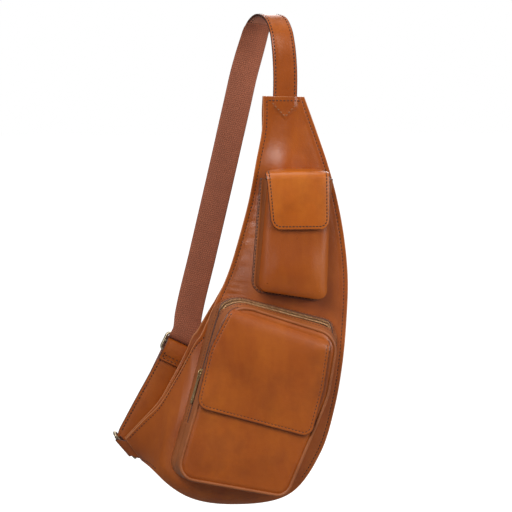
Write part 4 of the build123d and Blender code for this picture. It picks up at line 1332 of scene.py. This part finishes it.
class Strap:
    """A flat strap along a smooth path of centre points and directions across it."""

    def __init__(self, path, spacing=2.2, skewed=False):
        points = [Vector(p) for p, _ in path]
        wides = [Vector(w).normalized() for _, w in path]
        knots = chords(points)
        line, turn = Curve(points, knots), Curve(wides, knots)
        spots = []
        for i in range(len(points) - 1):
            pieces = max(2, math.ceil((knots[i + 1] - knots[i]) / spacing))
            spots += [i + k / pieces for k in range(pieces)]
        self.centres = [line.at(u) for u in spots] + [points[-1]]
        self.wides = [turn.at(u) for u in spots] + [wides[-1]]
        self.runs = chords(self.centres)
        self.normals = []
        last = len(spots)
        for i, wide in enumerate(self.wides):
            along = (self.centres[min(i + 1, last)] - self.centres[max(i - 1, 0)]).normalized()
            self.wides[i] = wide.normalized() if skewed else (wide - along * wide.dot(along)).normalized()
            self.normals.append(along.cross(self.wides[i]).normalized())

    def at(self, i, a, out):
        return self.centres[i] + self.wides[i] * a + self.normals[i] * out

    def build(self, shape, width, thick, lift=0.0, cup=0.0, soft=0.0, sew=None, half=None, ends=True, thin=None):
        """Adds the strap. half(run) may narrow it and thin(run) thin it; cup bows it; soft rounds its edges."""
        halves = [half(r) if half else width / 2 for r in self.runs]

        def row(i, sign):
            found = []
            for c in COLUMNS:
                edge_thick = thick / 2 * (1 - soft * abs(c) ** 10) * (thin(self.runs[i]) if thin else 1.0)
                sink = 0.25 if sew and abs(abs(c) * halves[i] - (halves[i] - sew)) < 1.0 else 0.0
                found.append(self.at(i, c * halves[i], lift - cup * c * c + sign * (edge_thick - sink)))
            return found

        def mark(i, j):
            if ends and i in (0, len(halves) - 1):
                return 1.0
            return max(0.0, 1.0 - (1 - abs(COLUMNS[j])) * halves[i] / RIM)

        outer, inner = ([row(i, sign) for i in range(len(halves))] for sign in (1, -1))
        shape.shell(outer, inner, mark, lambda i, j: (COLUMNS[j] * width / 2, self.runs[i]))

    def seam(self, shape, a, sign, thick, start=0.0, end=1e9, lift=0.0, cup=0.0, width=26.0):
        """A row of stitches at a distance a from the strap's middle, on one face."""
        picked = [i for i, r in enumerate(self.runs) if start <= r <= end]
        if len(picked) < 3:
            return
        bow = -cup * (a / (width / 2)) ** 2
        line = [self.at(i, a, lift + bow + sign * (thick / 2 - 0.05)) for i in picked]
        spots = search_tree(line)
        shape.stitches(line, lambda p: self.normals[picked[spots.find(p)[1]]] * sign)

    def cross_seam(self, shape, run, half, sign, thick):
        i = min(range(len(self.runs)), key=lambda k: abs(self.runs[k] - run))
        line = [self.at(i, -half + 2 * half * k / 20, sign * thick / 2) for k in range(21)]
        shape.stitches(line, self.normals[i] * sign)


TOP_PATH = [
    ((24.6, 3.6, -118.0), (1.0, 0.0, 0.0)),
    ((24.7, 3.6, -104.0), (1.0, 0.0, 0.0)),
    ((25.2, 3.6, -92.0), (1.0, 0.0, 0.0)),
    ((25.2, 4.0, -60.0), (1.0, 0.02, 0.0)),
    ((23.6, 5.4, -38.0), (0.99, 0.12, 0.0)),
    ((21.4, 9.8, -22.0), (0.97, 0.24, 0.05)),
    ((18.2, 17.5, -11.5), (0.94, 0.34, 0.05)),
    ((14.2, 26.5, -6.8), (0.92, 0.38, 0.0)),
    ((9.6, 36.5, -6.6), (0.92, 0.38, -0.05)),
    ((5.2, 46.0, -11.5), (0.93, 0.34, -0.1)),
    ((1.6, 53.6, -20.0), (0.94, 0.26, -0.15)),
    ((-1.6, 58.0, -32.0), (0.96, 0.16, -0.18)),
    ((-5.6, 60.4, -48.0), (0.97, 0.06, -0.2)),
    ((-9.6, 61.2, -66.0), (0.975, 0.02, -0.22)),
    ((-13.4, 61.2, -84.0), (0.975, 0.0, -0.22)),
]
top = Strap(TOP_PATH)
top_shape = Shape()
top.build(top_shape, 26.0, LEATHER, cup=0.5, soft=0.25, sew=2.8, half=lambda r: min(13.0, 0.6 + r * 0.93))
for side in (-1, 1):
    top.seam(top_shape, side * 10.2, -1, LEATHER, 16.0, cup=0.5)
for gap in (4.0, 16.0):
    top.cross_seam(top_shape, top.runs[-1] - gap, 9.0, -1, LEATHER)
make("top_strap_leather", top_shape, [tan_leather, thread], "top_strap", bevel=0.4)

top_inner = Strap(TOP_PATH[3:12])
inner_shape = Shape()
top_inner.build(inner_shape, 25.0, 1.0, lift=1.8, cup=0.5, soft=0.4, ends=False)
for side in (-1, 1):
    top_inner.seam(inner_shape, side * 10.2, 1, 1.0, 2.0, lift=1.8, cup=0.5)
make("top_strap_inside", inner_shape, [inner_leather_painted_light, thread], "top_strap_lining", bevel=0.25)

buckle_centre = Vector((-82.6, 60.0, -364.8))
buckle_across = Vector((0.899, 0.0, -0.438)).normalized()
buckle_up = Vector((0.438, 0.0, 0.899)).normalized()
backwards = Vector((0, 1, 0))


def on_buckle(up, y):
    return buckle_centre + buckle_up * up + backwards * y, buckle_across


WEB = 1.7
WEB_PATH = [
    ((4.0, 46.4, -15.8), (0.93, 0.34, -0.1)),
    ((1.6, 50.9, -21.8), (0.94, 0.26, -0.15)),
    ((-1.6, 54.9, -34.2), (0.96, 0.16, -0.18)),
    ((-5.4, 58.0, -48.6), (0.97, 0.06, -0.2)),
    ((-10.2, 58.9, -66.0), (0.975, 0.02, -0.22)),
    ((-18.3, 58.9, -101.0), (0.975, 0.0, -0.22)),
    ((-37.2, 58.5, -183.0), (0.975, 0.0, -0.23)),
    ((-56.8, 58.0, -266.0), (0.97, 0.0, -0.26)),
    ((-72.2, 57.4, -331.0), (0.93, 0.0, -0.37)),
]
ROUND_BUCKLE = (
    (16.0, -4.2), (11.4, -4.1), (7.8, -2.8), (5.9, 0.6), (5.2, 3.4), (3.6, 5.4), (0.0, 6.7), (-6.0, 6.9), (-12.0, 6.9),
    (-40.0, 7.4), (-78.0, 8.4),
)
web = Strap(WEB_PATH + [on_buckle(up, y) for up, y in ROUND_BUCKLE], 3.0)
web_shape = Shape()
web.build(web_shape, 30.0, WEB, cup=0.15, soft=0.55, ends=False, thin=lambda r: min(1.0, 0.2 + r / 9))
make("webbing_strap", web_shape, [webbing_cloth_painted_light], "webbing")

hem = Strap([on_buckle(-66.0, 10.3), on_buckle(-72.0, 10.5), on_buckle(-78.0, 10.7)], 2.0)
hem_shape = Shape()
hem.build(hem_shape, 28.4, WEB, cup=0.15, soft=0.55, ends=False)
for run, face in ((3.0, -1), (3.0, 1), (9.0, 1)):
    hem.cross_seam(hem_shape, run, 12.0, face, WEB)
make("webbing_hem_fold", hem_shape, [webbing_cloth_painted_light, thread], "webbing_hem")

BAR = 1.6
WIRE = 1.65
FRAME_WIDTH = 34.8


def frame_loop(origin, x, y, height, radius):
    """Centre line of a rounded rectangular frame."""
    return [origin + x * a + y * b for a, b in rounded_box(FRAME_WIDTH, height, radius, 8)]


adjuster_shape = Shape()
adjuster_line = frame_loop(buckle_centre, buckle_across, buckle_up, 19.2, 4.0)
adjuster_shape.tube(adjuster_line, WIRE, closed=True, sides=16, up=backwards)
bar_points = [buckle_centre + buckle_across * (17.2 * t) for t in (-1, -0.93, -0.86, 0, 0.86, 0.93, 1)]
adjuster_shape.tube(bar_points, [1.9, 1.8, 1.5, 1.5, 1.5, 1.8, 1.9], sides=16, up=backwards)
make("adjuster_frame", adjuster_shape, [nickel], "adjuster_buckle", "adjuster")

ring_across = Vector((0.65, 0.0, -0.76)).normalized()
ring_slope = Vector((0.19, 0.98, 0.0)).normalized()
ring_slope = (ring_slope - ring_across * ring_slope.dot(ring_across)).normalized()
ring_front = Vector((-141.4, 60.0, -472.6))
ring_centre = ring_front + ring_slope * 6.0
ring_back = ring_centre + ring_slope * 6.0
ring_shape = Shape()
ring_line = frame_loop(ring_centre, ring_across, ring_slope, 12.0, 3.4)
ring_shape.tube(ring_line, WIRE, closed=True, sides=16, up=ring_across.cross(ring_slope))
make("tail_ring", ring_shape, [nickel], "lower_ring", "ring")

LOOP = BAR + 0.9 + LEATHER / 2
strap_rise = ring_across.cross(backwards).normalized()
if strap_rise.z < 0:
    strap_rise = -strap_rise
strap_run = at_depth(buckle_centre - ring_back, 0).normalized()


def along_lower(fraction):
    high, low = buckle_centre - buckle_up * 26.0, ring_back + strap_run * 16.0
    y = 62.4 + (ring_back.y - LOOP - 62.4) * fraction
    return at_depth(high.lerp(low, fraction), y), (buckle_across * (1 - fraction) + ring_across * fraction).normalized()


def on_ring(up, y):
    return at_depth(ring_back + strap_run * up, ring_back.y + y), ring_across


def arc_rows(centre, radius, first, last, count, u, v, across):
    """Rows of a path round a bar, from one angle to another."""
    turns = [math.radians(first + (last - first) * k / (count - 1)) for k in range(count)]
    return [(centre + u * (radius * math.cos(t)) + v * (radius * math.sin(t)), across) for t in turns]


lower_rows = [on_buckle(-21.0, -1.3), on_buckle(-17.0, -1.6), on_buckle(-12.5, -LOOP)]
lower_rows += arc_rows(buckle_centre, LOOP, 180, 0, 7, backwards, buckle_up, buckle_across)
lower_rows += [on_buckle(-12.5, LOOP), on_buckle(-20.0, LOOP - 0.8)]
lower_rows += [along_lower(f) for f in (0.25, 0.5, 0.75)] + [on_ring(9.0, -LOOP)]
lower_rows += arc_rows(ring_back, LOOP, 180, 360, 7, backwards, strap_rise, ring_across)
lower_rows += [on_ring(9.0, LOOP), on_ring(24.0, LOOP - 1.0)]
lower = Strap(lower_rows, 2.0, True)
lower_shape = Shape()
total = lower.runs[-1]
lower.build(
    lower_shape, 29.5, LEATHER, cup=0.3, soft=0.25, sew=3.0, half=lambda r: 14.75 - 1.8 * smooth((r - total + 40) / 10)
)
for side in (-1, 1):
    for face in (-1, 1):
        for start, end in ((1.5, 12.0), (40.0, total - 42.0)):
            lower.seam(lower_shape, side * 11.3, face, LEATHER, start, end, cup=0.3, width=28.5)
for face in (-1, 1):
    for run in (2.5, 7.5, total - 3.0, total - 9.0):
        lower.cross_seam(lower_shape, run, 11.0, face, LEATHER)
make("lower_strap_leather", lower_shape, [tan_leather, thread], "lower_strap", bevel=0.4)

tail, before_tail = Section(LAST), Section(LAST - 1)
tail_mid = tail.point(tail.width / 2, tail.depth + tail.thick / 2)
inner_mid = before_tail.point(before_tail.width / 2, before_tail.depth + LEATHER + 3.6)
tail_run = (tail_mid - inner_mid).normalized()
tab_reach = ring_front - tail_mid
tab_into = (tab_reach - ring_across * tab_reach.dot(ring_across)).normalized()
tab_up = tab_into.cross(ring_across).normalized()
tab_rows = [(tail_mid + tail_run * reach, tail.across) for reach in (-6.0, -3.0, -0.5)]
tab_rows += arc_rows(ring_front, BAR + 0.6 + LEATHER / 2, 100, -140, 9, tab_into, tab_up, ring_across)
tab_shape = Shape()
Strap(tab_rows, 1.5, True).build(tab_shape, 24.0, 1.6, soft=0.25)
make("tail_tab_leather", tab_shape, [tan_leather], "tail_tab", bevel=0.3)


# ----------------------------------------------------------- stage and camera

paper = Look("floor_paper")
PAPER_GREY = (0.24, 0.24, 0.24, 1.0)
tone = paper.mix(paper.noise(12.0, 4.0) * 0.06, PAPER_GREY, shade(PAPER_GREY, 0.9))
seen = wire(paper.tree, "LightPath", "Is Camera Ray")
paper.close({"Base Color": tone, "Emission Strength": seen * 1.0}, {"Roughness": 0.8, "Emission Color": (1, 1, 1, 1)})
floor_z, floor_reach = cad_low.z - 0.11, 14.0
floor_mesh = bpy.data.meshes.new("floor")
floor_corners = [(x * floor_reach, y * floor_reach, floor_z) for x, y in ((-1, -1), (1, -1), (1, 1), (-1, 1))]
floor_mesh.from_pydata(floor_corners, [], [(0, 1, 2, 3)])
floor_mesh.materials.append(paper.material)
floor = bpy.data.objects.new("floor", floor_mesh)
bpy.context.scene.collection.objects.link(floor)

world = bpy.data.worlds.new("studio")
bpy.context.scene.world = world
world.use_nodes = True
WORLD_LIGHT = 0.36
tree = world.node_tree
backdrop = tree.nodes["Background"]
backdrop.inputs["Color"].default_value = (1.0, 1.0, 1.0, 1.0)
upward = wire(tree, "SeparateXYZ", 2, Vector=wire(tree, "TexCoord", "Generated"))
glow = wire(tree, "MapRange", i0=upward, i1=-0.4, i2=0.8, i3=0.1, i4=WORLD_LIGHT)
brightness = wire(tree, "MapRange", i0=wire(tree, "LightPath", "Is Camera Ray"), i3=glow, i4=1.0)
tree.links.new(brightness.socket, backdrop.inputs["Strength"])

LIGHTS_AIM = Vector((-0.018, 0.0, -0.25))
for name, where, width, height, power in (
    ("key", (-0.78, -1.55, 0.62), 0.75, 1.0, 18.5),
    ("fill", (1.35, -1.2, 0.25), 1.0, 1.0, 14.0),
    ("top", (-0.1, -0.2, 1.3), 1.2, 1.2, 8.0),
    ("rear", (0.5, 1.5, 0.6), 1.2, 1.2, 14.0),
):
    lamp = bpy.data.lights.new(name, "AREA")
    lamp.shape, lamp.size, lamp.size_y, lamp.energy = "RECTANGLE", width, height, power
    light = bpy.data.objects.new(name, lamp)
    light.location = where
    light.rotation_euler = (Vector(where) - LIGHTS_AIM).to_track_quat("Z", "Y").to_euler()
    bpy.context.scene.collection.objects.link(light)

AZIMUTH, ELEVATION, DISTANCE = math.radians(-8.5), math.radians(4.0), 3.805
CAMERA_AIM = Vector((-0.0178, -0.033, -0.2544))
level_part = math.cos(ELEVATION)
back = Vector((math.sin(AZIMUTH) * level_part, -math.cos(AZIMUTH) * level_part, math.sin(ELEVATION)))
lens = bpy.data.cameras.new("camera")
lens.lens, lens.sensor_width = 250.0, 36.0
lens.clip_start, lens.clip_end = 0.05, 60.0
camera = bpy.data.objects.new("camera", lens)
camera.location = CAMERA_AIM + back * DISTANCE
camera.rotation_euler = back.to_track_quat("Z", "Y").to_euler()
bpy.context.scene.collection.objects.link(camera)
bpy.context.scene.camera = camera
bpy.context.scene.view_settings.view_transform = "Standard"
bpy.context.scene.view_settings.look = "None"
